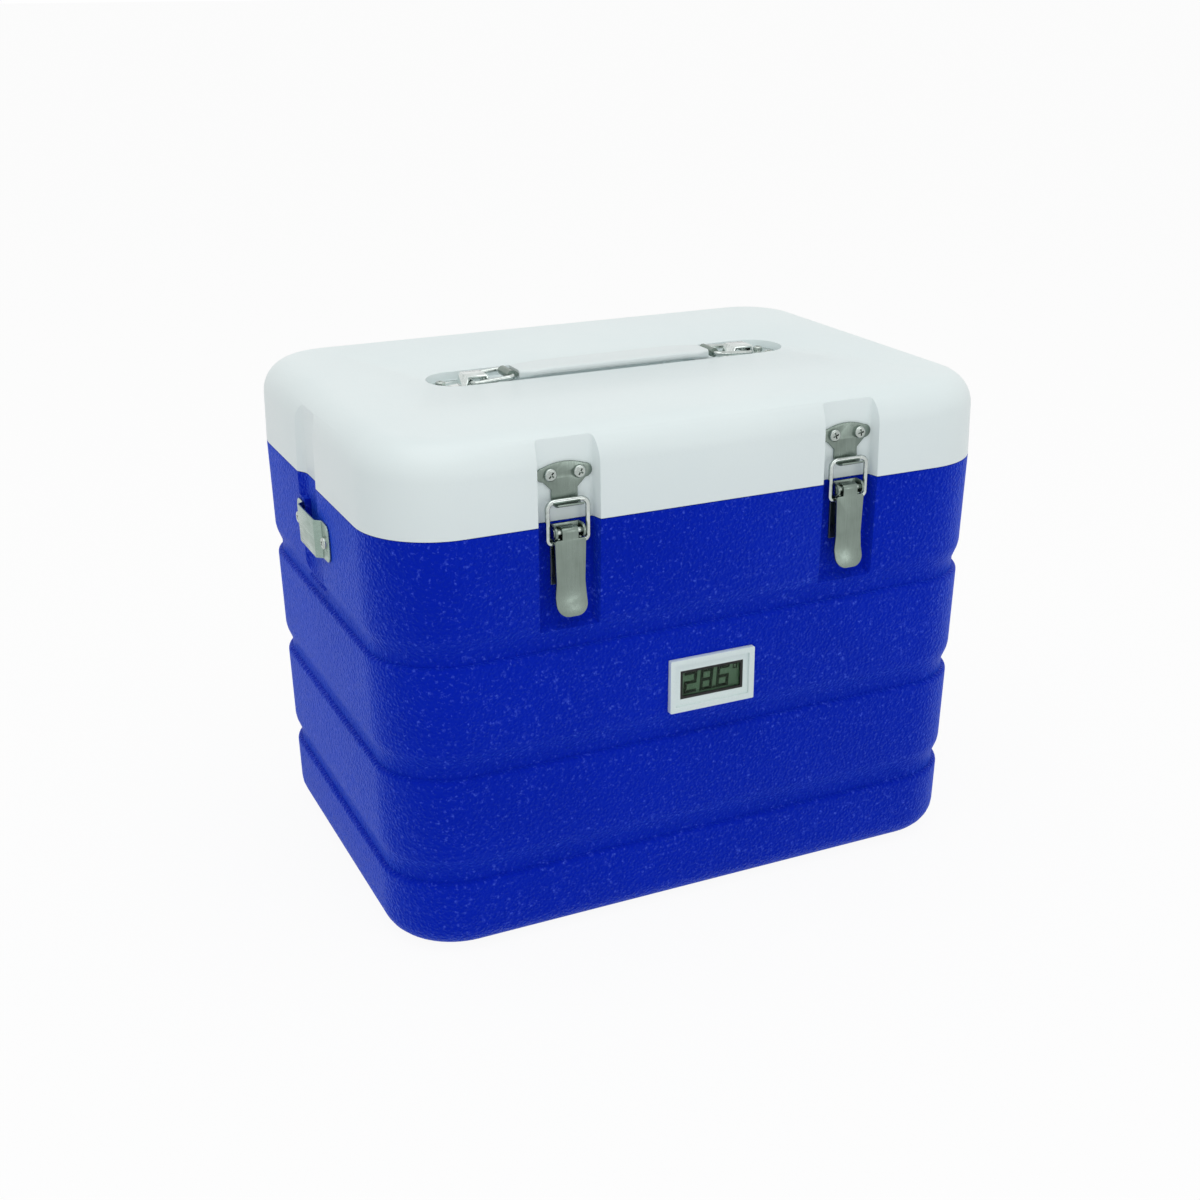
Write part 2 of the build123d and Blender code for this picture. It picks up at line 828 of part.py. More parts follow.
def hinge_spans():
    """X ranges of the outer knuckles, and of the middle one between the running gaps."""
    half = hinge_width / 2
    middle = hinge_middle_knuckle / 2
    outer = [(hinge_offset - half, hinge_offset - middle), (hinge_offset + middle, hinge_offset + half)]
    inner = (hinge_offset - middle + hinge_knuckle_gap, hinge_offset + middle - hinge_knuckle_gap)
    return outer, inner


def hinge_plate(z_far, z_near, spans, seats):
    """Flat leaf, with tongues at the spans that reach the pin's height."""
    z_low, z_high = sorted((z_far, z_near))
    leaf = box_between(
        (hinge_offset - hinge_width / 2, rear_seat, z_low),
        (hinge_offset + hinge_width / 2, rear_seat + hinge_metal, z_high),
    )
    far_edges = [e for e in leaf.edges().filter_by(Axis.Y) if abs(e.center().Z - z_far) < edge_tolerance]
    leaf = fillet(far_edges, hinge_corner_radius)
    for x_low, x_high in spans:
        low, high = sorted((z_near, hinge_z))
        leaf += box_between((x_low, rear_seat, low), (x_high, rear_seat + hinge_metal, high))
    return leaf - holes_at(seats, toward_rear)


def hinge_body_leaf():
    outer, _ = hinge_spans()
    near = hinge_z - hinge_knuckle_radius - hinge_knuckle_gap
    leaf = hinge_plate(body_height - hinge_leaf_height, near, outer, body_hinge_seats)
    for x_low, x_high in outer:
        leaf += hinge_knuckle(x_low, x_high, hinge_pin_radius)
        leaf -= rod_x(hinge_pin_radius, x_low, x_high, hinge_y, hinge_z)
    return leaf


def hinge_lid_leaf():
    """Lid leaf: its middle knuckle carries a heel that meets the body leaf when the lid is open."""
    _, inner = hinge_spans()
    near = hinge_z + hinge_knuckle_radius + hinge_knuckle_gap
    bore = hinge_pin_radius + running_clearance
    leaf = hinge_plate(lid_bottom + hinge_leaf_height, near, [inner], lid_hinge_seats)
    leaf += hinge_knuckle(*inner, bore)
    heel_top = hinge_z + hinge_knuckle_radius
    leaf += box_between(
        (inner[0], hinge_y, heel_top - hinge_metal), (inner[1], hinge_y + hinge_stop_length, heel_top)
    )
    return leaf - rod_x(bore, *inner, hinge_y, hinge_z)


def hinge_pin():
    low = hinge_offset - hinge_width / 2
    high = hinge_offset + hinge_width / 2
    pin = rod_x(hinge_pin_radius, low, high, hinge_y, hinge_z)
    for head_x in (low - hinge_pin_head, high):
        pin += rod_x(hinge_pin_head_radius, head_x, head_x + hinge_pin_head, hinge_y, hinge_z)
    return pin


# Strap bridge, right-hand end

def strap_bridge():
    """Stamped bridge across the end channel, standing off the wall between two screwed flanges."""
    inner = bridge_stand - bridge_metal
    tip = bridge_foot + bridge_flange
    half = [(0, tip), (0, bridge_foot), (inner, bridge_plate / 2)]
    back = half + [(x, -y) for x, y in reversed(half)]
    face = [(x + bridge_metal, y) for x, y in reversed(back)]
    bridge = from_above(back + face, -bridge_height / 2, bridge_height / 2)
    ends = [e for e in bridge.edges().filter_by(Axis.X) if abs(abs(e.center().Y) - tip) < edge_tolerance]
    bridge = fillet(ends, bridge_end_radius)
    bridge = Pos(strap_surface, bridge_center, bridge_center_height) * Rot(0, draft_angle, 0) * bridge
    return bridge - holes_at(strap_seats(), toward_end)


# Handle, right-hand end

def handle_bracket():
    """Screwed plate with a raised knuckle; the ring's outer bar slides inside the knuckle."""
    low = ring_outer_x - ring_travel - ring_wire_radius - knuckle_end_clearance
    high = ring_outer_x + ring_wire_radius + knuckle_end_clearance
    height = knuckle_play_below + 2 * ring_wire_radius + knuckle_play_above
    plate_low = low - handle_plate_lead
    plate = box_between(
        (plate_low, -handle_plate_width / 2, recess_shelf),
        (handle_plate_end, handle_plate_width / 2, handle_plate_top),
    )
    end_edges = plate.edges().filter_by(Axis.Z).group_by(Axis.X)[-1]
    plate = fillet(end_edges, (handle_plate_width - handle_plate_end_flat) / 2)

    def knuckle(grow, half_width):
        base = knuckle_lean + grow
        crown = grow - knuckle_lean
        points = [
            (low - base, handle_plate_top),
            (low - crown, handle_plate_top + height + grow),
            (high + crown, handle_plate_top + height + grow),
            (high + base, handle_plate_top),
        ]
        return from_front(points, -half_width, half_width)

    bracket = plate + knuckle(knuckle_metal, knuckle_width / 2) - knuckle(0.0, knuckle_width)
    return bracket - holes_at(handle_seats(), toward_top, small=True)


def handle_ring():
    """Rectangular wire ring from the strip's eye to the bracket's knuckle."""
    frame = RectangleRounded(ring_length, 2 * ring_half_width, ring_corner_radius).wire()
    ring = Pos(ring_length / 2, 0, 0) * wire_sweep(frame, ring_wire_radius)
    return Pos(strip_eye_offset, 0, ring_inner_z) * Rot(0, ring_rest_tilt, 0) * ring


def handle_strip():
    """Steel strip with an eye rolled round each ring's inner bar."""
    strip = box_between(
        (-strip_eye_offset, -strip_width / 2, ring_inner_z - strip_thickness / 2),
        (strip_eye_offset, strip_width / 2, ring_inner_z + strip_thickness / 2),
    )
    bore = ring_wire_radius + running_clearance
    for eye_x in (-strip_eye_offset, strip_eye_offset):
        place = Pos(eye_x, 0, ring_inner_z) * Rot(90, 0, 0)
        strip += place * Cylinder(strip_eye_radius, strip_width)
        strip -= place * Cylinder(bore, 2 * strip_width)
    return strip


def handle_grip(strip):
    """Soft grip moulded over the strip: thin tapered ends and a raised middle."""
    half = grip_length / 2
    hump = grip_hump_length / 2
    end_half = grip_end_thickness / 2
    stations = [
        (half, grip_end_width, end_half, end_half),
        (hump + grip_hump_slope, grip_width, grip_below, end_half),
        (hump, grip_width, grip_below, grip_above),
    ]
    stations += [(-x, width, below, above) for x, width, below, above in reversed(stations)]
    sections = []
    for x, width, below, above in stations:
        plane = Plane(origin=(x, 0, ring_inner_z + (above - below) / 2), x_dir=(0, 1, 0), z_dir=(1, 0, 0))
        sections.append(plane * RectangleRounded(width, above + below, grip_edge_radius))
    return loft(sections, ruled=True) - strip


# Thermometer

def meter_bezel():
    """Front frame: raised rim, sunk step and the window opening; the window seats in its back."""
    bezel = meter_block(meter_width, meter_height, bezel_front, bezel_back)
    bezel = fillet(bezel.edges().filter_by(Axis.Y), meter_edge_radius)
    bezel = chamfer(bezel.faces().sort_by(Axis.Y)[0].edges(), meter_edge_radius / 2)
    step = 2 * meter_rim
    bezel -= meter_block(meter_width - step, meter_height - step, bezel_front, bezel_front + meter_step)
    bezel -= meter_block(window_width, window_height, bezel_front, bezel_back)
    lap = 2 * window_lap
    seat = (bezel_back - window_thickness, bezel_back)
    return bezel - meter_block(window_width + lap, window_height + lap, *seat)


def meter_window():
    lap = 2 * window_lap - meter_fit
    return meter_block(window_width + lap, window_height + lap, bezel_back - window_thickness, bezel_back)


def meter_panel():
    lap = 2 * window_lap
    return meter_block(window_width + lap, window_height + lap, bezel_back, bezel_back + panel_thickness)


def meter_case_inside():
    width = meter_cutout_width - 2 * (meter_fit + meter_case_wall)
    height = meter_cutout_height - 2 * (meter_fit + meter_case_wall)
    return width, height


def meter_case():
    """Rear housing, open at the front, with a hole in its back wall for the probe's lead."""
    width = meter_cutout_width - 2 * meter_fit
    height = meter_cutout_height - 2 * meter_fit
    case = meter_block(width, height, bezel_back, case_back)
    case -= meter_block(*meter_case_inside(), bezel_back, case_back - meter_case_wall)
    hole = Pos(0, case_back, lead_height) * Rot(90, 0, 0) * Cylinder(lead_radius, meter_case_depth)
    return case - hole


def meter_board():
    width, height = meter_case_inside()
    low = bezel_back + panel_thickness
    return meter_block(width - board_margin, height - board_margin, low, low + board_thickness)


def meter_cells():
    low = bezel_back + panel_thickness + board_thickness
    cells = []
    for x in (-cell_offset, cell_offset):
        place = Pos(x, low + cell_thickness / 2, meter_center_height) * Rot(90, 0, 0)
        cells.append(place * Cylinder(cell_radius, cell_thickness))
    return cells


def probe_lead():
    """Lead from the case, back through the foam and down behind the liner to the probe."""
    path = FilletPolyline(
        Vector(0, case_back - meter_case_wall, lead_height),
        Vector(0, lead_y, lead_height),
        Vector(0, lead_y, probe_height + probe_length / 2),
        radius=lead_bend,
    )
    return wire_sweep(path, lead_radius)


def meter_probe():
    return Pos(0, lead_y, probe_height) * Cylinder(probe_radius, probe_length)


# All the nodes

def build_nodes():
    outer = body_outer()
    inner = body_inner()
    top_inner = lid_inner()
    lead = probe_lead()
    probe = meter_probe()
    liner = lid_liner(top_inner)
    gasket = lid_gasket()
    strip = handle_strip()
    nodes = {
        "body_shell": body_shell(outer, inner),
        "body_foam": body_foam(inner, lead, probe),
        "body_liner": body_liner(inner),
        "lid_shell": lid_shell(lid_outer(), top_inner),
        "lid_foam": lid_foam(top_inner, liner, gasket),
        "lid_liner": liner,
        "lid_gasket": gasket,
        "handle_strip": strip,
        "handle_grip": handle_grip(strip),
        "meter_bezel": meter_bezel(),
        "meter_window": meter_window(),
        "meter_panel": meter_panel(),
        "meter_case": meter_case(),
        "meter_board": meter_board(),
        "meter_cells": meter_cells(),
        "probe_lead": lead,
        "meter_probe": probe,
        "latch_base_screws": latch_base_screws,
        "keeper_screws": keeper_screws,
        "hinge_body_screws": hinge_body_screws,
        "hinge_lid_screws": hinge_lid_screws,
        "strap_screws": strap_screws,
        "handle_screws": handle_screws,
    }
    paired = {
        "latch_base": latch_base(),
        "latch_pivot_pin": latch_pivot_pin(),
        "latch_lever": latch_lever(),
        "latch_sleeve": latch_sleeve(),
        "latch_bail": latch_bail(),
        "latch_keeper": latch_keeper(),
        "hinge_body_leaf": hinge_body_leaf(),
        "hinge_lid_leaf": hinge_lid_leaf(),
        "hinge_pin": hinge_pin(),
        "strap_bridge": strap_bridge(),
        "handle_bracket": handle_bracket(),
        "handle_ring": handle_ring(),
    }
    for name, shape in paired.items():
        for side, copy in pair(shape).items():
            nodes[f"{name}_{side}"] = copy
    return nodes


os.makedirs("parts", exist_ok=True)
for node, shape in build_nodes().items():
    items = shape if isinstance(shape, list) else [shape]
    solids = [solid for item in items for solid in item.solids()]
    export_step(Compound(children=solids), f"parts/{node}.step")

print("handle lift", round(handle_lift, 3), "ring turn", ring_raised_tilt - ring_rest_tilt)
print("hinge pin", round(hinge_y, 3), round(hinge_z, 3), "latch pivot", round(pivot_y, 3), pivot_height)
print("bail sleeve", round(foot_y, 3), round(foot_height, 3))
print("ring inner bar", strip_eye_offset, round(ring_inner_z, 3))
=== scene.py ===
import bpy
import bmesh
import json
import math
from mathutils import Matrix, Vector


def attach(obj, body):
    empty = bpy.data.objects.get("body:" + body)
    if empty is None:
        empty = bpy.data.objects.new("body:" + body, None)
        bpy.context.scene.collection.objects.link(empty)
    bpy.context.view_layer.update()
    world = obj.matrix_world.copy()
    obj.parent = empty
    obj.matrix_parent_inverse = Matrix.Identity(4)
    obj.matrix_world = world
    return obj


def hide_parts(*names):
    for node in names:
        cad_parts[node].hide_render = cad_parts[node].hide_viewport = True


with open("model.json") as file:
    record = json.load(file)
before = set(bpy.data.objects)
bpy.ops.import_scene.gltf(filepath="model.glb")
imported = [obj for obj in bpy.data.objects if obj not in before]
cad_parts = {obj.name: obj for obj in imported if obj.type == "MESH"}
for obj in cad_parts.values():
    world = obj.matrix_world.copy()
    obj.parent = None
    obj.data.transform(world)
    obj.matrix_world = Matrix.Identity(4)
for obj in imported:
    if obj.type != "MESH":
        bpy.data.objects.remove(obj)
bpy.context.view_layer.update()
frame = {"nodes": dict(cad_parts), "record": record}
nodes = frame["nodes"]
mm = 0.001


# everyday helpers

def deselectAll():
    for other in bpy.context.selected_objects:
        other.select_set(False)


def pick(piece):
    deselectAll()
    piece.select_set(True)
    bpy.context.view_layer.objects.active = piece


def keepPlaceInMesh(name):
    piece = bpy.context.active_object
    piece.name = name
    piece.data.name = name
    bpy.ops.object.transform_apply(location=True, rotation=True, scale=True)
    return piece


def addBox(name, low, high):
    deselectAll()
    center = [(a + b) / 2 * mm for a, b in zip(low, high)]
    size = [(b - a) * mm for a, b in zip(low, high)]
    bpy.ops.mesh.primitive_cube_add(size=1, location=center, scale=size)
    return keepPlaceInMesh(name)


def editPiece(piece):
    pick(piece)
    bpy.ops.object.mode_set(mode="EDIT")
    bpy.ops.mesh.select_all(action="DESELECT")


def leaveEdit():
    bpy.ops.object.mode_set(mode="OBJECT")


def choose(piece, kind, test):
    bpy.ops.mesh.select_mode(type=kind)
    bpy.ops.mesh.select_all(action="DESELECT")
    mesh = bmesh.from_edit_mesh(piece.data)
    parts = {"VERT": mesh.verts, "EDGE": mesh.edges, "FACE": mesh.faces}[kind]
    for part in parts:
        if test(part):
            part.select_set(True)
    mesh.select_flush_mode()
    bmesh.update_edit_mesh(piece.data)


def middle(edge):
    return (edge.verts[0].co + edge.verts[1].co) / 2


def along(edge):
    return (edge.verts[1].co - edge.verts[0].co).normalized()


def near(value, target, reach=0.05):
    return abs(value - target * mm) < reach * mm


def levelEdge(edge, height):
    return all(near(vert.co.z, height) for vert in edge.verts)


def roundEdges(width, segments, clamp=False):
    bpy.ops.mesh.bevel(
        offset=width * mm, segments=segments, profile=0.5, affect="EDGES", clamp_overlap=clamp
    )


def cutLevel(height):
    bpy.ops.mesh.select_all(action="SELECT")
    bpy.ops.mesh.bisect(plane_co=(0, 0, height * mm), plane_no=(0, 0, 1))


def useModifier(piece, kind, **settings):
    pick(piece)
    modifier = piece.modifiers.new(kind, kind)
    for name, value in settings.items():
        setattr(modifier, name, value)
    bpy.ops.object.modifier_apply(modifier=modifier.name)


def carve(piece, cutters):
    for cutter in cutters:
        useModifier(piece, "BOOLEAN", object=cutter, operation="DIFFERENCE", solver="EXACT")
        bpy.data.objects.remove(cutter)


def smooth(piece, angle=32):
    pick(piece)
    bpy.ops.object.shade_smooth_by_angle(angle=math.radians(angle))


def joined(pieces, name):
    deselectAll()
    for piece in pieces:
        piece.select_set(True)
    bpy.context.view_layer.objects.active = pieces[0]
    bpy.ops.object.join()
    pieces[0].name = name
    return pieces[0]


# cutters for the pockets, channels and seats that body and lid share

# past and above are how far a cutter runs on beyond the wall and beyond the open rim;
# the areas are where the edges of a hollow are looked for
hollow = {
    "latchX": 77.5, "pocketFloor": -112.5, "pocketHalf": 14.5, "pocketSide": 1.5, "pocketDeep": 7.0,
    "pocketFoot": 172.0, "pocketRamp": 6.0, "pocketRound": 1.6, "pocketArea": 20.0, "frontArea": -100.0,
    "channelY": 3.0, "channelFloor": 166.5, "channelHalf": 12.0, "channelSide": 5.5, "channelDeep": 3.5,
    "channelFoot": 170.0, "channelRamp": 5.0, "channelRound": 2.4, "channelArea": 24.0, "endArea": 160.0,
    "hingeHalf": 26.0, "hingeSeat": 118.0, "hingePast": 140.0, "past": 14.0, "above": 4.0,
    "bossInner": 150.0, "bossOuter": 200.0, "bossFront": 10.5, "bossBack": 60.0,
    "bossLow": 185.9, "bossHigh": 208.9,
    "rimAngle": 60, "edgeAngle": 24, "merge": 0.02,
}


def pocketCutter(low, high, foot):
    past = hollow["past"]
    half = hollow["pocketHalf"]
    floor = hollow["pocketFloor"]
    cutter = addBox("pocketCutter", (-half, floor - past, low), (half, floor, high))
    editPiece(cutter)
    spread = 1 + hollow["pocketSide"] * past / hollow["pocketDeep"] / half
    choose(cutter, "VERT", lambda v: near(v.co.y, floor - past))
    bpy.ops.transform.resize(value=(spread, 1, 1))
    if foot:
        choose(cutter, "VERT", lambda v: near(v.co.y, floor - past) and near(v.co.z, low))
        drop = hollow["pocketRamp"] * past / hollow["pocketDeep"]
        bpy.ops.transform.translate(value=(0, 0, -drop * mm))
    choose(cutter, "EDGE", lambda e: near(middle(e).y, floor) and not levelEdge(e, high))
    roundEdges(hollow["pocketRound"], 3)
    leaveEdit()
    return cutter


def channelCutter(low, high, foot):
    past = hollow["past"]
    half = hollow["channelHalf"]
    floor = hollow["channelFloor"]
    center = hollow["channelY"]
    cutter = addBox("channelCutter", (floor, center - half, low), (floor + past, center + half, high))
    editPiece(cutter)
    spread = 1 + hollow["channelSide"] * past / hollow["channelDeep"] / half
    choose(cutter, "VERT", lambda v: near(v.co.x, floor + past))
    bpy.ops.transform.resize(value=(1, spread, 1))
    if foot:
        choose(cutter, "VERT", lambda v: near(v.co.x, floor + past) and near(v.co.z, low))
        drop = hollow["channelRamp"] * past / hollow["channelDeep"]
        bpy.ops.transform.translate(value=(0, 0, -drop * mm))
    choose(cutter, "EDGE", lambda e: near(middle(e).x, floor) and not levelEdge(e, high))
    roundEdges(hollow["channelRound"], 3)
    leaveEdit()
    return cutter


def moved(piece, offset):
    pick(piece)
    piece.location = [value * mm for value in offset]
    bpy.ops.object.transform_apply(location=True, rotation=False, scale=False)
    return piece


def mirrored(piece):
    pick(piece)
    bpy.ops.object.duplicate()
    copy = bpy.context.active_object
    copy.scale = (-1, 1, 1)
    bpy.ops.object.transform_apply(location=False, rotation=False, scale=True)
    bpy.ops.object.mode_set(mode="EDIT")
    bpy.ops.mesh.select_all(action="SELECT")
    bpy.ops.mesh.normals_make_consistent(inside=False)
    leaveEdit()
    return copy


# the strap bridge's rear flange stands on a boss that fills part of the channel
def bossBlock():
    low = (hollow["bossInner"], hollow["bossFront"], hollow["bossLow"])
    high = (hollow["bossOuter"], hollow["bossBack"], hollow["bossHigh"])
    return addBox("boss", low, high)


def bodyHollows(high):
    pocket = moved(pocketCutter(hollow["pocketFoot"], high, True), (hollow["latchX"], 0, 0))
    channel = channelCutter(hollow["channelFoot"], high, True)
    carve(channel, [bossBlock()])
    return [pocket, mirrored(pocket), channel, mirrored(channel)]


def lidHollows(low, high):
    pocket = moved(pocketCutter(low, high, False), (hollow["latchX"], 0, 0))
    channel = channelCutter(low, high, False)
    return [pocket, mirrored(pocket), channel, mirrored(channel)]


def hingeCutters(low, high):
    half = hollow["hingeHalf"]
    center = hollow["latchX"]
    front, back = hollow["hingeSeat"], hollow["hingePast"]
    seat = addBox("hingeCutter", (center - half, front, low), (center + half, back, high))
    return [seat, mirrored(seat)]


def openSide(piece, height, facing):
    editPiece(piece)
    choose(
        piece, "FACE",
        lambda f: f.normal.z * facing > 0.99 and near(f.calc_center_median().z, height, reach=0.2),
    )
    bpy.ops.mesh.delete(type="FACE")
    leaveEdit()


# blue body shell

body = {
    "length": 340.0, "depth": 239.0, "height": 221.0, "corner": 40.0, "draft": 4.2, "baseRound": 14.0,
    "ledges": (39.5, 97.5, 157.4), "lip": 0.8, "grooveDeep": 2.8, "grooveStraight": 6.0, "grooveSlope": 8.0,
    "wall": 3.0, "lipRound": 1.3, "cornerRound": 0.7, "slopeRound": 2.2, "rimRound": 1.2,
    "hollowRound": 0.8, "hingeFoot": 193.0, "rimGap": 0.1,
}


# the meter's place in the front wall: a shallow seat, and a cut-out through the wall
meterPlace = {
    "height": 126.6, "long": 48.0, "tall": 28.6, "front": -120.51, "back": -117.41, "fit": 0.1,
    "cutoutLong": 46.6, "cutoutTall": 27.2, "cutFront": -130.0, "cutBack": -110.0,
}


def meterBlock(name, long, tall, front, back):
    low = meterPlace["height"] - tall / 2
    high = meterPlace["height"] + tall / 2
    return addBox(name, (-long / 2, front, low), (long / 2, back, high))


def meterThrough(name, long, tall):
    return meterBlock(name, long, tall, meterPlace["cutFront"], meterPlace["cutBack"])


def meterSeatCutter():
    long = meterPlace["long"] + 2 * meterPlace["fit"]
    tall = meterPlace["tall"] + 2 * meterPlace["fit"]
    return meterBlock("seat", long, tall, meterPlace["cutFront"], meterPlace["back"])


def roundedBlock(name, low, high):
    long = body["length"] / 2
    deep = body["depth"] / 2
    block = addBox(name, (-long, -deep, low), (long, deep, high))
    editPiece(block)
    choose(block, "EDGE", lambda e: abs(along(e).z) > 0.99)
    roundEdges(body["corner"], 16)
    return block


# narrow the block's section at one level by the draft on every side
def narrowLevel(block, height, draft):
    choose(block, "VERT", lambda v: near(v.co.z, height))
    shrinkX = 1 - 2 * draft / body["length"]
    shrinkY = 1 - 2 * draft / body["depth"]
    bpy.ops.transform.resize(value=(shrinkX, shrinkY, 1))


def buildBodyShell():
    shell = roundedBlock("bodyShell", 0, body["height"])
    narrowLevel(shell, 0, body["draft"])
    for ledge in body["ledges"]:
        straight = ledge + body["grooveStraight"]
        for height in (ledge - body["lip"], ledge, straight, straight + body["grooveSlope"]):
            cutLevel(height)
        choose(shell, "VERT", lambda v: near(v.co.z, ledge) or near(v.co.z, straight))
        bpy.ops.transform.shrink_fatten(value=-body["grooveDeep"] * mm, use_even_offset=True)
    choose(shell, "EDGE", lambda e: levelEdge(e, 0))
    roundEdges(body["baseRound"], 7)
    for ledge in body["ledges"]:
        straight = ledge + body["grooveStraight"]
        rounds = (
            (straight + body["grooveSlope"], body["slopeRound"], 3),
            (straight, body["slopeRound"], 3),
            (ledge, body["cornerRound"], 2),
            (ledge - body["lip"], body["lipRound"], 3),
        )
        for height, width, segments in rounds:
            choose(shell, "EDGE", lambda e: levelEdge(e, height))
            roundEdges(width, segments)
    leaveEdit()
    above = body["height"] + hollow["above"]
    carve(shell, bodyHollows(above))
    carve(shell, hingeCutters(body["hingeFoot"], above))
    carve(shell, [meterSeatCutter()])
    return shell


def sharp(edge, angle):
    return len(edge.link_faces) == 2 and edge.calc_face_angle(0) > math.radians(angle)


# round the sharp edges of the hollows that pass the test
def softenHollows(piece, test, width):
    editPiece(piece)
    bpy.ops.mesh.select_all(action="SELECT")
    bpy.ops.mesh.remove_doubles(threshold=hollow["merge"] * mm)
    choose(piece, "EDGE", lambda e: sharp(e, hollow["edgeAngle"]) and test(e))
    roundEdges(width, 2, clamp=True)
    leaveEdit()


def onFrontHollow(edge):
    place = middle(edge) / mm
    return abs(abs(place.x) - hollow["latchX"]) < hollow["pocketArea"] and place.y < hollow["frontArea"]


def onEndHollow(edge):
    place = middle(edge) / mm
    return abs(place.x) > hollow["endArea"] and abs(place.y - hollow["channelY"]) < hollow["channelArea"]


def onBodyHollow(edge):
    insideTop = middle(edge).z < (body["height"] - body["rimGap"]) * mm
    return insideTop and (onFrontHollow(edge) or onEndHollow(edge))


# round the outer and inner edge of an open shell's rim
def roundRim(piece, height, width):
    editPiece(piece)
    choose(piece, "EDGE", lambda e: levelEdge(e, height) and sharp(e, hollow["rimAngle"]))
    roundEdges(width, 3, clamp=True)
    leaveEdit()


bodyShell = buildBodyShell()
softenHollows(bodyShell, onBodyHollow, body["hollowRound"])
openSide(bodyShell, body["height"], 1)
useModifier(bodyShell, "SOLIDIFY", thickness=body["wall"] * mm, offset=-1)
carve(bodyShell, [meterThrough("cutout", meterPlace["cutoutLong"], meterPlace["cutoutTall"])])
roundRim(bodyShell, body["height"], body["rimRound"])
smooth(bodyShell)
print("body shell done")


# white lid shell

lid = {
    "bottom": 221.4, "top": 265.7, "topRound": 17.5, "draft": 0.7,
    "recessLong": 208.0, "recessWide": 33.0, "shelf": 260.7, "middleLong": 108.0, "floor": 245.7,
    "recessRound": 1.2, "recessEnd": 0.1, "rimRound": 1.4, "hollowRound": 0.9,
    "above": 6.0, "hingeTall": 28.0, "rimArea": (106.0, 20.0),
}


def slotCutter(long, wide, low, high):
    cutter = addBox("slotCutter", (-long / 2, -wide / 2, low), (long / 2, wide / 2, high))
    editPiece(cutter)
    choose(cutter, "EDGE", lambda e: abs(along(e).z) > 0.99)
    roundEdges(wide / 2 - lid["recessEnd"], 14)
    choose(cutter, "EDGE", lambda e: levelEdge(e, low))
    roundEdges(lid["recessRound"], 3)
    leaveEdit()
    return cutter


def buildLidShell():
    shell = roundedBlock("lidShell", lid["bottom"], lid["top"])
    narrowLevel(shell, lid["top"], lid["draft"])
    choose(shell, "EDGE", lambda e: levelEdge(e, lid["top"]))
    roundEdges(lid["topRound"], 10)
    leaveEdit()
    below = lid["bottom"] - hollow["above"]
    above = lid["top"] + lid["above"]
    carve(shell, lidHollows(below, above))
    carve(shell, hingeCutters(below, lid["bottom"] + lid["hingeTall"]))
    carve(shell, [slotCutter(lid["recessLong"], lid["recessWide"], lid["shelf"], above)])
    carve(shell, [slotCutter(lid["middleLong"], lid["recessWide"], lid["floor"], above)])
    return shell


def onRecessRim(edge):
    place = middle(edge) / mm
    long, wide = lid["rimArea"]
    return abs(place.x) < long and abs(place.y) < wide


def onLidHollow(edge):
    return onFrontHollow(edge) or onEndHollow(edge) or onRecessRim(edge)


lidShell = buildLidShell()
softenHollows(lidShell, onLidHollow, lid["hollowRound"])
openSide(lidShell, lid["bottom"], -1)
useModifier(lidShell, "SOLIDIFY", thickness=body["wall"] * mm, offset=-1)
roundRim(lidShell, lid["bottom"], lid["rimRound"])
smooth(lidShell)
print("lid shell done")


# pressed and moulded fittings: a merged copy of the CAD node with its sharp edges rounded

pressed = {"merge": 0.004, "flatAngle": 1.0, "edgeAngle": 30, "smoothAngle": 40}


def softCopy(nodeName, name, width, segments=2):
    piece = bpy.data.objects.new(name, nodes[nodeName].data.copy())
    bpy.context.scene.collection.objects.link(piece)
    piece.data.materials.clear()
    editPiece(piece)
    bpy.ops.mesh.select_all(action="SELECT")
    bpy.ops.mesh.remove_doubles(threshold=pressed["merge"] * mm)
    bpy.ops.mesh.dissolve_limited(angle_limit=math.radians(pressed["flatAngle"]))
    leaveEdit()
    useModifier(
        piece, "BEVEL", width=width * mm, segments=segments, limit_method="ANGLE",
        angle_limit=math.radians(pressed["edgeAngle"]), use_clamp_overlap=True,
    )
    smooth(piece, pressed["smoothAngle"])
    return piece


# rounding of each kind of fitting, its name, its material and the body that it rides on; one per side
fittings = {
    "latch_base": {"name": "latchBase", "width": 0.3, "look": "stainless", "rides": "carrier_body"},
    "latch_lever": {"name": "latchLever", "width": 0.35, "look": "stainless", "rides": "lever"},
    "latch_keeper": {"name": "latchKeeper", "width": 0.3, "look": "stainless", "rides": "lid"},
    "hinge_body_leaf": {
        "name": "hingeBodyLeaf", "width": 0.3, "look": "stainless", "rides": "carrier_body",
    },
    "hinge_lid_leaf": {"name": "hingeLidLeaf", "width": 0.3, "look": "stainless", "rides": "lid"},
    "strap_bridge": {"name": "strapBridge", "width": 0.3, "look": "bridge_steel", "rides": "carrier_body"},
    "handle_bracket": {"name": "handleBracket", "width": 0.25, "look": "bracket_steel", "rides": "lid"},
}


# pan-head screws: one domed head with a cross recess, copied to every seat

screw = {
    "radius": 3.2, "head": 1.9, "dome": 1.1, "shank": 1.75, "long": 7.5,
    "crossLong": 4.2, "crossWide": 0.95, "crossDeep": 1.3, "crossTaper": 0.55, "crossAbove": 1.0,
    "crossTurns": (20, 110), "turnStep": 0.7,
}
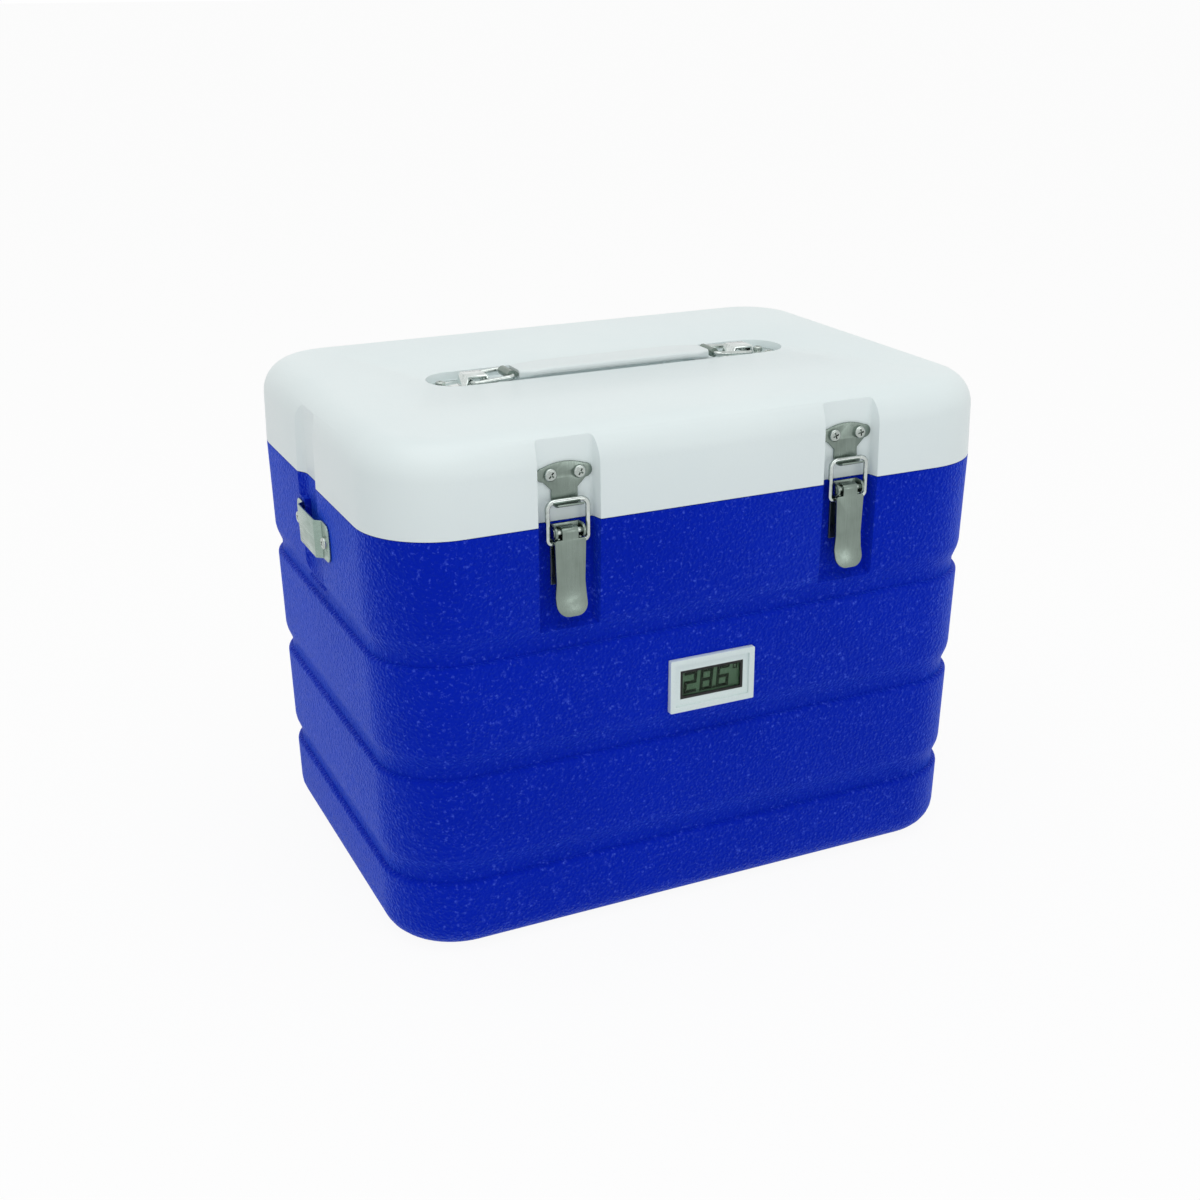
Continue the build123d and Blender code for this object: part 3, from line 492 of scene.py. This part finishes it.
# seat, the direction that the head faces, and the head's size against the full one
screwSets = {
    "latchBaseScrews": {
        "stands": "latch_base_screws", "rides": "carrier_body", "facing": (0, -1, 0), "grow": 1.0,
        "seats": [(77.5, -113.7, 205.0), (77.5, -113.7, 195.5)],
    },
    "keeperScrews": {
        "stands": "keeper_screws", "rides": "lid", "facing": (0, -1, 0), "grow": 1.0,
        "seats": [(70.1, -113.7, 244.6), (84.9, -113.7, 244.6)],
    },
    "hingeBodyScrews": {
        "stands": "hinge_body_screws", "rides": "carrier_body", "facing": (0, 1, 0), "grow": 1.0,
        "seats": [(60.5, 119.5, 204.0), (94.5, 119.5, 204.0)],
    },
    "hingeLidScrews": {
        "stands": "hinge_lid_screws", "rides": "lid", "facing": (0, 1, 0), "grow": 1.0,
        "seats": [(60.5, 119.5, 238.4), (94.5, 119.5, 238.4)],
    },
    "strapScrews": {
        "stands": "strap_screws", "rides": "carrier_body", "facing": (1, 0, -0.019), "grow": 1.0,
        "seats": [(170.75, -28.5, 197.4), (170.75, 17.5, 197.4)],
    },
    "handleScrews": {
        "stands": "handle_screws", "rides": "lid", "facing": (0, 0, 1), "grow": 0.8,
        "seats": [(95.0, -6.0, 262.2), (95.0, 6.0, 262.2)],
    },
}


def crossBar(turn):
    long = screw["crossLong"] / 2
    wide = screw["crossWide"] / 2
    low = screw["head"] - screw["crossDeep"]
    bar = addBox("crossBar", (-long, -wide, low), (long, wide, screw["head"] + screw["crossAbove"]))
    editPiece(bar)
    choose(bar, "VERT", lambda v: near(v.co.z, low))
    bpy.ops.transform.resize(value=(screw["crossTaper"], screw["crossTaper"], 1))
    leaveEdit()
    bar.rotation_euler.z = turn
    bpy.ops.object.transform_apply(location=False, rotation=True, scale=False)
    return bar


def buildScrew():
    deselectAll()
    head = screw["head"] * mm
    bpy.ops.mesh.primitive_cylinder_add(
        vertices=40, radius=screw["radius"] * mm, depth=head, location=(0, 0, head / 2)
    )
    piece = keepPlaceInMesh("screw")
    editPiece(piece)
    choose(piece, "EDGE", lambda e: levelEdge(e, screw["head"]))
    roundEdges(screw["dome"], 6)
    choose(piece, "FACE", lambda f: f.normal.z < -0.99)
    bpy.ops.mesh.inset(thickness=(screw["radius"] - screw["shank"]) * mm)
    bpy.ops.mesh.extrude_region_move(TRANSFORM_OT_translate={"value": (0, 0, -screw["long"] * mm)})
    leaveEdit()
    carve(piece, [crossBar(math.radians(turn)) for turn in screw["crossTurns"]])
    smooth(piece)
    return piece


def placeScrews(original, name, seats, facing, grow):
    copies = []
    for x, y, z in seats:
        for side in (1, -1):
            pick(original)
            bpy.ops.object.duplicate()
            copy = bpy.context.active_object
            outward = Vector((facing[0] * side, facing[1], facing[2]))
            copy.rotation_euler = outward.to_track_quat("Z", "Y").to_euler()
            copy.rotation_euler.rotate_axis("Z", screw["turnStep"] * len(copies))
            copy.scale = (grow, grow, grow)
            copy.location = (x * side * mm, y * mm, z * mm)
            bpy.ops.object.transform_apply(location=True, rotation=True, scale=True)
            copies.append(copy)
    return joined(copies, name)


# thermometer: bezel, pane, black border inside the opening, and the digits on the display

meter = {
    "openLong": 36.0, "openTall": 15.5, "cornerRound": 0.6, "rim": 3.0, "step": 1.2, "edgeRound": 0.35,
    "smoothAngle": 40,
    "paneFront": -118.41, "paneBack": -117.9, "paneGrow": 1.7, "seatGrow": 1.8, "paneRound": 0.15,
    "frameWide": 1.4, "frameFront": -119.28, "frameRound": 0.15, "frameFit": 0.06, "clear": 0.02,
    "inkFront": -117.6, "digitLong": 7.2, "digitTall": 11.6, "stroke": 1.7, "gap": 0.12, "lean": 0.08,
    "digitPlaces": (-11.4, -2.2, 7.2), "digits": "286", "pointPlace": 2.5, "pointSize": 1.4,
    "degreePlace": 13.9, "degreeLong": 2.4, "degreeTall": 2.8, "degreeStroke": 0.6, "degreeGap": 0.05,
}
# which of the seven strokes a digit lights, by their usual letters
segmentsOf = {"2": "abged", "8": "abcdefg", "6": "afgecd"}


def inkBox(across, upright):
    center = meterPlace["height"]
    back = meterPlace["back"] - meter["clear"]
    low = (across[0], meter["inkFront"], center + upright[0])
    high = (across[1], back, center + upright[1])
    return addBox("ink", low, high)


def digitBoxes(place, digit):
    half = meter["digitLong"] / 2
    tall = meter["digitTall"] / 2
    stroke = meter["stroke"]
    gap = meter["gap"]
    across = (place - half, place + half)
    left = (place - half, place - half + stroke)
    right = (place + half - stroke, place + half)
    upper = (stroke / 2 + gap, tall - stroke - gap)
    lower = (-tall + stroke + gap, -stroke / 2 - gap)
    bars = {
        "a": (across, (tall - stroke, tall)), "g": (across, (-stroke / 2, stroke / 2)),
        "d": (across, (-tall, -tall + stroke)), "b": (right, upper), "c": (right, lower),
        "f": (left, upper), "e": (left, lower),
    }
    return [inkBox(*bars[letter]) for letter in segmentsOf[digit]]


def pointBox():
    low = -meter["digitTall"] / 2
    half = meter["pointSize"] / 2
    return inkBox((meter["pointPlace"] - half, meter["pointPlace"] + half), (low, low + meter["pointSize"]))


# the degree sign: a small square ring level with the tops of the digits
def degreeBoxes():
    left = meter["degreePlace"] - meter["degreeLong"] / 2
    right = meter["degreePlace"] + meter["degreeLong"] / 2
    top = meter["digitTall"] / 2
    bottom = top - meter["degreeTall"]
    stroke = meter["degreeStroke"]
    between = (bottom + stroke + meter["degreeGap"], top - stroke - meter["degreeGap"])
    return [
        inkBox((left, right), (top - stroke, top)),
        inkBox((left, right), (bottom, bottom + stroke)),
        inkBox((left, left + stroke), between),
        inkBox((right - stroke, right), between),
    ]


def buildDigits():
    boxes = []
    for place, digit in zip(meter["digitPlaces"], meter["digits"]):
        boxes += digitBoxes(place, digit)
    boxes.append(pointBox())
    boxes += degreeBoxes()
    digits = joined(boxes, "displayDigits")
    for vert in digits.data.vertices:
        vert.co.x += meter["lean"] * (vert.co.z - meterPlace["height"] * mm)
    return digits


def buildBezel():
    long = meterPlace["long"]
    tall = meterPlace["tall"]
    front = meterPlace["front"]
    bezel = meterBlock("meterBezel", long, tall, front, meterPlace["back"])
    editPiece(bezel)
    choose(bezel, "EDGE", lambda e: abs(along(e).y) > 0.99)
    roundEdges(meter["cornerRound"], 3)
    leaveEdit()
    rims = 2 * meter["rim"]
    grow = meter["seatGrow"]
    seatSize = (meter["openLong"] + grow, meter["openTall"] + grow)
    carve(bezel, [
        meterBlock("step", long - rims, tall - rims, meterPlace["cutFront"], front + meter["step"]),
        meterThrough("window", meter["openLong"], meter["openTall"]),
        meterBlock("seat", *seatSize, meter["paneFront"], meterPlace["cutBack"]),
    ])
    useModifier(bezel, "BEVEL", width=meter["edgeRound"] * mm, segments=3, limit_method="ANGLE")
    smooth(bezel, meter["smoothAngle"])
    return bezel


def buildPane():
    long = meter["openLong"] + meter["paneGrow"]
    tall = meter["openTall"] + meter["paneGrow"]
    pane = meterBlock("displayPane", long, tall, meter["paneFront"], meter["paneBack"])
    useModifier(pane, "BEVEL", width=meter["paneRound"] * mm, segments=2)
    smooth(pane)
    return pane


def buildBorder():
    long = meter["openLong"] - meter["frameFit"]
    tall = meter["openTall"] - meter["frameFit"]
    back = meter["paneFront"] - meter["clear"]
    border = meterBlock("displayFrame", long, tall, meter["frameFront"], back)
    inner = 2 * meter["frameWide"]
    carve(border, [meterThrough("opening", long - inner, tall - inner)])
    useModifier(border, "BEVEL", width=meter["frameRound"] * mm, segments=2, limit_method="ANGLE")
    smooth(border)
    return border


# effects that several materials use

def newGroup(name, inputs, outputs):
    group = bpy.data.node_groups.new(name, "ShaderNodeTree")
    for socketName, kind, value in inputs:
        socket = group.interface.new_socket(name=socketName, in_out="INPUT", socket_type=kind)
        socket.default_value = value
    for socketName, kind in outputs:
        group.interface.new_socket(name=socketName, in_out="OUTPUT", socket_type=kind)
    start = group.nodes.new("NodeGroupInput")
    end = group.nodes.new("NodeGroupOutput")
    return group, start, end


# a socket gets a link from another node's output, or a plain value
def feed(tree, socket, value):
    if isinstance(value, bpy.types.NodeSocket):
        tree.links.new(value, socket)
    else:
        socket.default_value = value


def addNode(tree, kind, settings=None, **inputs):
    node = tree.nodes.new(kind)
    for name, value in (settings or {}).items():
        setattr(node, name, value)
    for name, value in inputs.items():
        feed(tree, node.inputs[name], value)
    return node


def mathNode(tree, operation, first, second=0.0, third=0.0):
    node = tree.nodes.new("ShaderNodeMath")
    node.operation = operation
    for socket, value in zip(node.inputs, (first, second, third)):
        feed(tree, socket, value)
    return node.outputs[0]


def mapRange(tree, value, low, high, toLow, toHigh):
    node = addNode(tree, "ShaderNodeMapRange", Value=value)
    for name, number in (("From Min", low), ("From Max", high), ("To Min", toLow), ("To Max", toHigh)):
        node.inputs[name].default_value = number
    return node.outputs["Result"]


# the colour sockets of a Mix node share their names with its other kinds, so they go by place
def mixColors(tree, share, first, second):
    node = addNode(tree, "ShaderNodeMix", {"data_type": "RGBA"}, Factor=share)
    feed(tree, node.inputs[6], first)
    feed(tree, node.inputs[7], second)
    return node.outputs[2]


# moulded grain: small rounded cells with finer noise between them, and a mask of cell patches where paler
# specks are painted in as highlights
def buildGrainGroup():
    group, start, end = newGroup(
        "mouldedGrain",
        [("Scale", "NodeSocketFloat", 600.0), ("Fine", "NodeSocketFloat", 0.3)],
        [("Height", "NodeSocketFloat"), ("Cells", "NodeSocketFloat"), ("PaintedGlints", "NodeSocketFloat")],
    )
    place = addNode(group, "ShaderNodeTexCoord").outputs["Object"]
    warp = addNode(group, "ShaderNodeTexNoise", Vector=place, Scale=260.0, Detail=2.0)
    shifted = addNode(group, "ShaderNodeVectorMath", {"operation": "MULTIPLY_ADD"})
    group.links.new(warp.outputs["Color"], shifted.inputs[0])
    shifted.inputs[1].default_value = (0.002, 0.002, 0.002)
    group.links.new(place, shifted.inputs[2])
    cells = addNode(
        group, "ShaderNodeTexVoronoi", {"feature": "SMOOTH_F1"},
        Vector=shifted.outputs["Vector"], Scale=start.outputs["Scale"], Smoothness=0.6,
    )
    fine = addNode(group, "ShaderNodeTexNoise", Vector=place, Scale=1500.0, Detail=3.0, Roughness=0.6)
    domes = mapRange(group, cells.outputs["Distance"], 0.1, 0.7, 1.0, 0.0)
    ripple = mathNode(group, "MULTIPLY", fine.outputs["Fac"], start.outputs["Fine"])
    group.links.new(mathNode(group, "ADD", domes, ripple), end.inputs["Height"])
    group.links.new(domes, end.inputs["Cells"])
    # painted highlight specks: patches of grain cells that get a paler blue mixed into the base colour
    paintedGlintPatches = addNode(group, "ShaderNodeTexNoise", Vector=place, Scale=420.0, Detail=2.0, Roughness=0.7)
    where = mapRange(group, paintedGlintPatches.outputs["Fac"], 0.56, 0.70, 0.0, 1.0)
    group.links.new(mathNode(group, "MULTIPLY", where, domes), end.inputs["PaintedGlints"])
    return group


# slow drift of a colour over a large surface
def buildDriftGroup():
    group, start, end = newGroup(
        "colourDrift",
        [
            ("Color", "NodeSocketColor", (0.8, 0.8, 0.8, 1)),
            ("Second", "NodeSocketColor", (0.7, 0.7, 0.7, 1)),
            ("Scale", "NodeSocketFloat", 12.0),
        ],
        [("Color", "NodeSocketColor"), ("Fac", "NodeSocketFloat")],
    )
    place = addNode(group, "ShaderNodeTexCoord").outputs["Object"]
    cloud = addNode(
        group, "ShaderNodeTexNoise", Vector=place, Scale=start.outputs["Scale"], Detail=4.0, Roughness=0.55
    )
    amount = mapRange(group, cloud.outputs["Fac"], 0.35, 0.65, 0.0, 1.0)
    color = mixColors(group, amount, start.outputs["Color"], start.outputs["Second"])
    group.links.new(color, end.inputs["Color"])
    group.links.new(amount, end.inputs["Fac"])
    return group


# brushed or rolled metal: noise stretched along one direction
def buildBrushGroup():
    group, start, end = newGroup(
        "brushedMetal",
        [("Stretch", "NodeSocketVector", (1.0, 1.0, 0.05)), ("Scale", "NodeSocketFloat", 900.0)],
        [("Height", "NodeSocketFloat"), ("Fac", "NodeSocketFloat")],
    )
    place = addNode(group, "ShaderNodeTexCoord").outputs["Object"]
    stretched = addNode(group, "ShaderNodeVectorMath", {"operation": "MULTIPLY"})
    group.links.new(place, stretched.inputs[0])
    group.links.new(start.outputs["Stretch"], stretched.inputs[1])
    lines = addNode(
        group, "ShaderNodeTexNoise",
        Vector=stretched.outputs["Vector"], Scale=start.outputs["Scale"], Detail=4.0, Roughness=0.65,
    )
    smudge = addNode(group, "ShaderNodeTexNoise", Vector=place, Scale=120.0, Detail=3.0)
    blend = mathNode(group, "MULTIPLY", lines.outputs["Fac"], smudge.outputs["Fac"])
    group.links.new(lines.outputs["Fac"], end.inputs["Height"])
    group.links.new(mapRange(group, blend, 0.15, 0.4, 0.0, 1.0), end.inputs["Fac"])
    return group


grainGroup = buildGrainGroup()
driftGroup = buildDriftGroup()
brushGroup = buildBrushGroup()


def newMaterial(name):
    material = bpy.data.materials.new(name)
    material.use_nodes = True
    return material, material.node_tree, material.node_tree.nodes["Principled BSDF"]


def addGroup(tree, group, **inputs):
    node = tree.nodes.new("ShaderNodeGroup")
    node.node_tree = group
    for name, value in inputs.items():
        node.inputs[name].default_value = value
    return node


def linkBump(tree, shader, height, strength, distance):
    bump = addNode(tree, "ShaderNodeBump", Height=height, Strength=strength, Distance=distance * mm)
    tree.links.new(bump.outputs["Normal"], shader.inputs["Normal"])


def rgba(color):
    return (*color, 1.0)


# moulded plastics: colour that drifts, grain that catches light, roughness that follows the grain;
# the blue one also has paler specks painted in as highlights, a tinted gloss and a blue sheen at grazing
# angles
plastics = {
    "blue_shell": {
        "color": (0.0010, 0.0095, 0.445), "second": (0.0008, 0.0076, 0.400), "rough": (0.24, 0.44),
        "ior": 1.14,
        "scale": 560.0, "fine": 0.35, "bump": 0.9, "deep": 0.45, "tint": (0.15, 0.50, 1.0),
        "paintedGlint": (0.060, 0.110, 0.72), "paintedGlintShare": 1.0, "sheen": 0.68, "sheenRough": 0.6,
        "sheenTint": (0.035, 0.17, 1.0),
    },
    "white_shell": {
        "color": (0.80, 0.885, 0.885), "second": (0.775, 0.865, 0.87), "rough": (0.28, 0.42), "ior": 1.42,
        "scale": 900.0, "fine": 0.5, "bump": 0.12, "deep": 0.08,
    },
    "white_liner": {
        "color": (0.82, 0.85, 0.84), "second": (0.78, 0.82, 0.81), "rough": (0.30, 0.45), "ior": 1.45,
        "scale": 500.0, "fine": 0.4, "bump": 0.1, "deep": 0.08,
    },
    "white_grip": {
        "color": (0.78, 0.85, 0.85), "second": (0.74, 0.81, 0.81), "rough": (0.38, 0.55), "ior": 1.42,
        "scale": 1100.0, "fine": 0.6, "bump": 0.2, "deep": 0.06,
    },
    "bezel_white": {
        "color": (0.72, 0.83, 0.82), "second": (0.68, 0.79, 0.78), "rough": (0.22, 0.34), "ior": 1.45,
        "scale": 1500.0, "fine": 0.3, "bump": 0.05, "deep": 0.04,
    },
    "lcd_panel": {
        "color": (0.085, 0.155, 0.098), "second": (0.068, 0.128, 0.080), "rough": (0.30, 0.42), "ior": 1.3,
        "scale": 2200.0, "fine": 0.5, "bump": 0.03, "deep": 0.02,
    },
    "display_ink": {
        "color": (0.006, 0.014, 0.008), "second": (0.010, 0.020, 0.012), "rough": (0.35, 0.5), "ior": 1.2,
        "scale": 2400.0, "fine": 0.5, "bump": 0.03, "deep": 0.02,
    },
    "display_frame": {
        "color": (0.004, 0.005, 0.005), "second": (0.007, 0.008, 0.008), "rough": (0.4, 0.55), "ior": 1.4,
        "scale": 1800.0, "fine": 0.5, "bump": 0.08, "deep": 0.03,
    },
    "dark_case": {
        "color": (0.030, 0.030, 0.032), "second": (0.022, 0.022, 0.024), "rough": (0.45, 0.6), "ior": 1.45,
        "scale": 900.0, "fine": 0.4, "bump": 0.2, "deep": 0.06,
    },
    "circuit_board": {
        "color": (0.015, 0.14, 0.06), "second": (0.02, 0.10, 0.04), "rough": (0.3, 0.45), "ior": 1.45,
        "scale": 1800.0, "fine": 0.4, "bump": 0.08, "deep": 0.04,
    },
    "cable_black": {
        "color": (0.016, 0.016, 0.017), "second": (0.025, 0.025, 0.026), "rough": (0.5, 0.65), "ior": 1.45,
        "scale": 1600.0, "fine": 0.5, "bump": 0.1, "deep": 0.05,
    },
    "seal_rubber": {
        "color": (0.40, 0.42, 0.42), "second": (0.34, 0.36, 0.36), "rough": (0.55, 0.72), "ior": 1.4,
        "scale": 1200.0, "fine": 0.6, "bump": 0.2, "deep": 0.06,
    },
    "insulation": {
        "color": (0.85, 0.78, 0.58), "second": (0.78, 0.70, 0.48), "rough": (0.75, 0.9), "ior": 1.4,
        "scale": 420.0, "fine": 0.8, "bump": 0.8, "deep": 0.5,
    },
}

# metals: two tints, the range of their roughness, and the direction that they are brushed in; the bracket
# steel's darker tint is a painted reflection
metals = {
    "stainless": {
        "color": (0.225, 0.275, 0.245), "second": (0.185, 0.228, 0.200), "rough": (0.26, 0.40),
        "stretch": (1.0, 1.0, 0.04), "scale": 1400.0, "bump": 0.12, "deep": 0.03,
    },
    "wire_steel": {
        "color": (0.56, 0.61, 0.59), "second": (0.40, 0.44, 0.42), "rough": (0.07, 0.14),
        "stretch": (1.0, 1.0, 1.0), "scale": 700.0, "bump": 0.10, "deep": 0.03,
    },
    "bridge_steel": {
        "color": (0.32, 0.42, 0.375), "second": (0.26, 0.345, 0.30), "rough": (0.22, 0.36),
        "stretch": (1.0, 0.05, 1.0), "scale": 1200.0, "bump": 0.15, "deep": 0.03,
    },
    # the darker second tint, mixed in blotches, is painted reflection: dark colour standing in for dark
    # surroundings mirrored in the polished bracket
    "bracket_steel": {
        "color": (0.72, 0.77, 0.75), "second": (0.40, 0.45, 0.43), "rough": (0.08, 0.18),
        "stretch": (0.06, 1.0, 1.0), "scale": 1200.0, "bump": 0.12, "deep": 0.03,
    },
    "screw_steel": {
        "color": (0.44, 0.49, 0.46), "second": (0.36, 0.40, 0.38), "rough": (0.12, 0.24),
        "stretch": (1.0, 1.0, 1.0), "scale": 900.0, "bump": 0.08, "deep": 0.02,
    },
    "battery_steel": {
        "color": (0.62, 0.62, 0.60), "second": (0.54, 0.54, 0.52), "rough": (0.2, 0.32),
        "stretch": (1.0, 0.1, 1.0), "scale": 800.0, "bump": 0.06, "deep": 0.02,
    },
}


driftScale = 9.0


def makePlastic(name, look):
    material, tree, shader = newMaterial(name)
    drift = addGroup(
        tree, driftGroup, Color=rgba(look["color"]), Second=rgba(look["second"]), Scale=driftScale
    )
    grain = addGroup(tree, grainGroup, Scale=look["scale"], Fine=look["fine"])
    # paler specks painted into the base colour stand in for highlights on the grain
    if "paintedGlint" in look:
        share = mathNode(tree, "MULTIPLY", grain.outputs["PaintedGlints"], look["paintedGlintShare"])
        paintedSpecks = mixColors(tree, share, drift.outputs["Color"], rgba(look["paintedGlint"]))
        tree.links.new(paintedSpecks, shader.inputs["Base Color"])
        shader.inputs["Specular Tint"].default_value = rgba(look["tint"])
        shader.inputs["Sheen Weight"].default_value = look["sheen"]
        shader.inputs["Sheen Roughness"].default_value = look["sheenRough"]
        shader.inputs["Sheen Tint"].default_value = rgba(look["sheenTint"])
    else:
        tree.links.new(drift.outputs["Color"], shader.inputs["Base Color"])
    rough = mapRange(tree, grain.outputs["Cells"], 0.0, 1.0, look["rough"][1], look["rough"][0])
    tree.links.new(rough, shader.inputs["Roughness"])
    shader.inputs["IOR"].default_value = look["ior"]
    linkBump(tree, shader, grain.outputs["Height"], look["bump"], look["deep"])
    return material


def makeMetal(name, look):
    material, tree, shader = newMaterial(name)
    brush = addGroup(tree, brushGroup, Stretch=look["stretch"], Scale=look["scale"])
    color = mixColors(tree, brush.outputs["Fac"], rgba(look["color"]), rgba(look["second"]))
    tree.links.new(color, shader.inputs["Base Color"])
    rough = mapRange(tree, brush.outputs["Fac"], 0.0, 1.0, look["rough"][0], look["rough"][1])
    tree.links.new(rough, shader.inputs["Roughness"])
    shader.inputs["Metallic"].default_value = 1.0
    linkBump(tree, shader, brush.outputs["Height"], look["bump"], look["deep"])
    return material


window = {
    "color": (0.92, 0.96, 0.92), "second": (0.86, 0.92, 0.86), "scale": 60.0,
    "rough": (0.02, 0.08), "ior": 1.12,
}


def makeWindow(name, look):
    material, tree, shader = newMaterial(name)
    drift = addGroup(
        tree, driftGroup, Color=rgba(look["color"]), Second=rgba(look["second"]), Scale=look["scale"]
    )
    tree.links.new(drift.outputs["Color"], shader.inputs["Base Color"])
    rough = mapRange(tree, drift.outputs["Fac"], 0.0, 1.0, look["rough"][0], look["rough"][1])
    tree.links.new(rough, shader.inputs["Roughness"])
    shader.inputs["Transmission Weight"].default_value = 1.0
    shader.inputs["IOR"].default_value = look["ior"]
    return material


materials = {name: makePlastic(name, look) for name, look in plastics.items()}
materials.update({name: makeMetal(name, look) for name, look in metals.items()})
materials["clear_window"] = makeWindow("clear_window", window)

# the bails and the handle's rings are bent wire, brighter than the pressed steel
for part in frame["record"]["subparts"]:
    node = nodes[part["node"]]
    node.data.materials.clear()
    bentWire = "bail" in part["node"] or "ring" in part["node"]
    node.data.materials.append(materials["wire_steel" if bentWire else part["material_slot"]])
print("materials done")


# each modelled piece: its body, its material and the CAD nodes that it stands for
def settle(piece, rides, slotName, look, *standsFor):
    piece.data.materials.clear()
    piece.data.materials.append(materials[look])
    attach(piece, rides)
    if standsFor:
        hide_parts(*standsFor)


settle(bodyShell, "carrier_body", "blue_shell", "blue_shell", "body_shell")
settle(lidShell, "lid", "white_shell", "white_shell", "lid_shell")

for nodeName, fitting in fittings.items():
    for side in ("left", "right"):
        piece = softCopy(f"{nodeName}_{side}", f"{fitting['name']}_{side}", fitting["width"])
        rides = f"lever_{side}" if fitting["rides"] == "lever" else fitting["rides"]
        settle(piece, rides, "stainless", fitting["look"], f"{nodeName}_{side}")
print("latches, hinges, bridges and brackets done")

firstScrew = buildScrew()
for name, screws in screwSets.items():
    piece = placeScrews(firstScrew, name, screws["seats"], screws["facing"], screws["grow"])
    settle(piece, screws["rides"], "screw_steel", "screw_steel", screws["stands"])
bpy.data.objects.remove(firstScrew)
print("screws done")

settle(buildBezel(), "carrier_body", "bezel_white", "bezel_white", "meter_bezel")
settle(buildPane(), "carrier_body", "clear_window", "clear_window", "meter_window")
settle(buildBorder(), "carrier_body", "dark_case", "display_frame")
settle(buildDigits(), "carrier_body", "lcd_panel", "display_ink")
grip = {"width": 0.7, "segments": 4}
handleGrip = softCopy("handle_grip", "handleGrip", grip["width"], grip["segments"])
settle(handleGrip, "handle", "white_grip", "white_grip", "handle_grip")
print("thermometer and grip done")


# floor, lights and camera

# floorGlow is the share of plain white in what is seen of the floor; worldLight is how strongly
# the sky lights things, while the sky seen directly is plain white
studio = {
    "floorSize": 60.0, "floorDrop": 0.2, "floorColor": (0.90, 0.90, 0.90), "floorRough": 0.9,
    "floorGlow": 0.93, "worldLight": 0.58, "sensor": 36.0,
    "cameraPlace": (-0.3644, -0.7720, 0.4618), "cameraAim": (0.3912, 0.8451, -0.3643), "cameraRoll": -0.006,
    "lens": 48.25,
}

lamps = {
    "topSoftbox": {"place": (-0.15, -0.35, 1.6), "aim": (0, 0, 0.1), "size": 1.6, "power": 8.5},
    "frontSoftbox": {"place": (-1.0, -1.9, 0.9), "aim": (0, 0, 0.12), "size": 1.4, "power": 2.4},
    "frontCard": {"place": (0.85, -2.0, 0.55), "aim": (0, 0, 0.15), "size": 0.75, "power": 2.6},
}


def seenDirectly(tree):
    path = tree.nodes.new("ShaderNodeLightPath")
    seen = mathNode(tree, "MAXIMUM", path.outputs["Is Camera Ray"], path.outputs["Is Glossy Ray"])
    return mathNode(tree, "MAXIMUM", seen, path.outputs["Is Transmission Ray"])


def buildFloor():
    deselectAll()
    bpy.ops.mesh.primitive_plane_add(size=studio["floorSize"], location=(0, 0, -studio["floorDrop"] * mm))
    floor = keepPlaceInMesh("studioFloor")
    material, tree, shader = newMaterial("paleFloor")
    shader.inputs["Base Color"].default_value = rgba(studio["floorColor"])
    shader.inputs["Roughness"].default_value = studio["floorRough"]
    glow = addNode(tree, "ShaderNodeEmission", Color=(1, 1, 1, 1), Strength=1.0)
    share = mathNode(tree, "MULTIPLY", seenDirectly(tree), studio["floorGlow"])
    mix = tree.nodes.new("ShaderNodeMixShader")
    tree.links.new(share, mix.inputs[0])
    tree.links.new(shader.outputs[0], mix.inputs[1])
    tree.links.new(glow.outputs[0], mix.inputs[2])
    tree.links.new(mix.outputs[0], tree.nodes["Material Output"].inputs["Surface"])
    floor.data.materials.append(material)


def buildWorld():
    world = bpy.data.worlds.new("studio")
    bpy.context.scene.world = world
    world.use_nodes = True
    tree = world.node_tree
    background = tree.nodes["Background"]
    background.inputs["Color"].default_value = (1, 1, 1, 1)
    strength = mapRange(tree, seenDirectly(tree), 0.0, 1.0, studio["worldLight"], 1.0)
    tree.links.new(strength, background.inputs["Strength"])


def aimAt(thing, direction, roll=0.0):
    thing.rotation_euler = Vector(direction).to_track_quat("-Z", "Y").to_euler()
    thing.rotation_euler.rotate_axis("Z", roll)


def buildLights():
    for name, lamp in lamps.items():
        light = bpy.data.lights.new(name, "AREA")
        light.shape = "SQUARE"
        light.size = lamp["size"]
        light.energy = lamp["power"]
        holder = bpy.data.objects.new(name, light)
        bpy.context.scene.collection.objects.link(holder)
        holder.location = lamp["place"]
        aimAt(holder, Vector(lamp["aim"]) - Vector(lamp["place"]))


def buildCamera():
    camera = bpy.data.objects.new("studioCamera", bpy.data.cameras.new("studioCamera"))
    bpy.context.scene.collection.objects.link(camera)
    camera.location = studio["cameraPlace"]
    aimAt(camera, studio["cameraAim"], studio["cameraRoll"])
    camera.data.lens = studio["lens"]
    camera.data.sensor_width = studio["sensor"]
    bpy.context.scene.camera = camera


buildFloor()
buildWorld()
buildLights()
buildCamera()
bpy.context.scene.view_settings.view_transform = "Standard"
print("studio done")
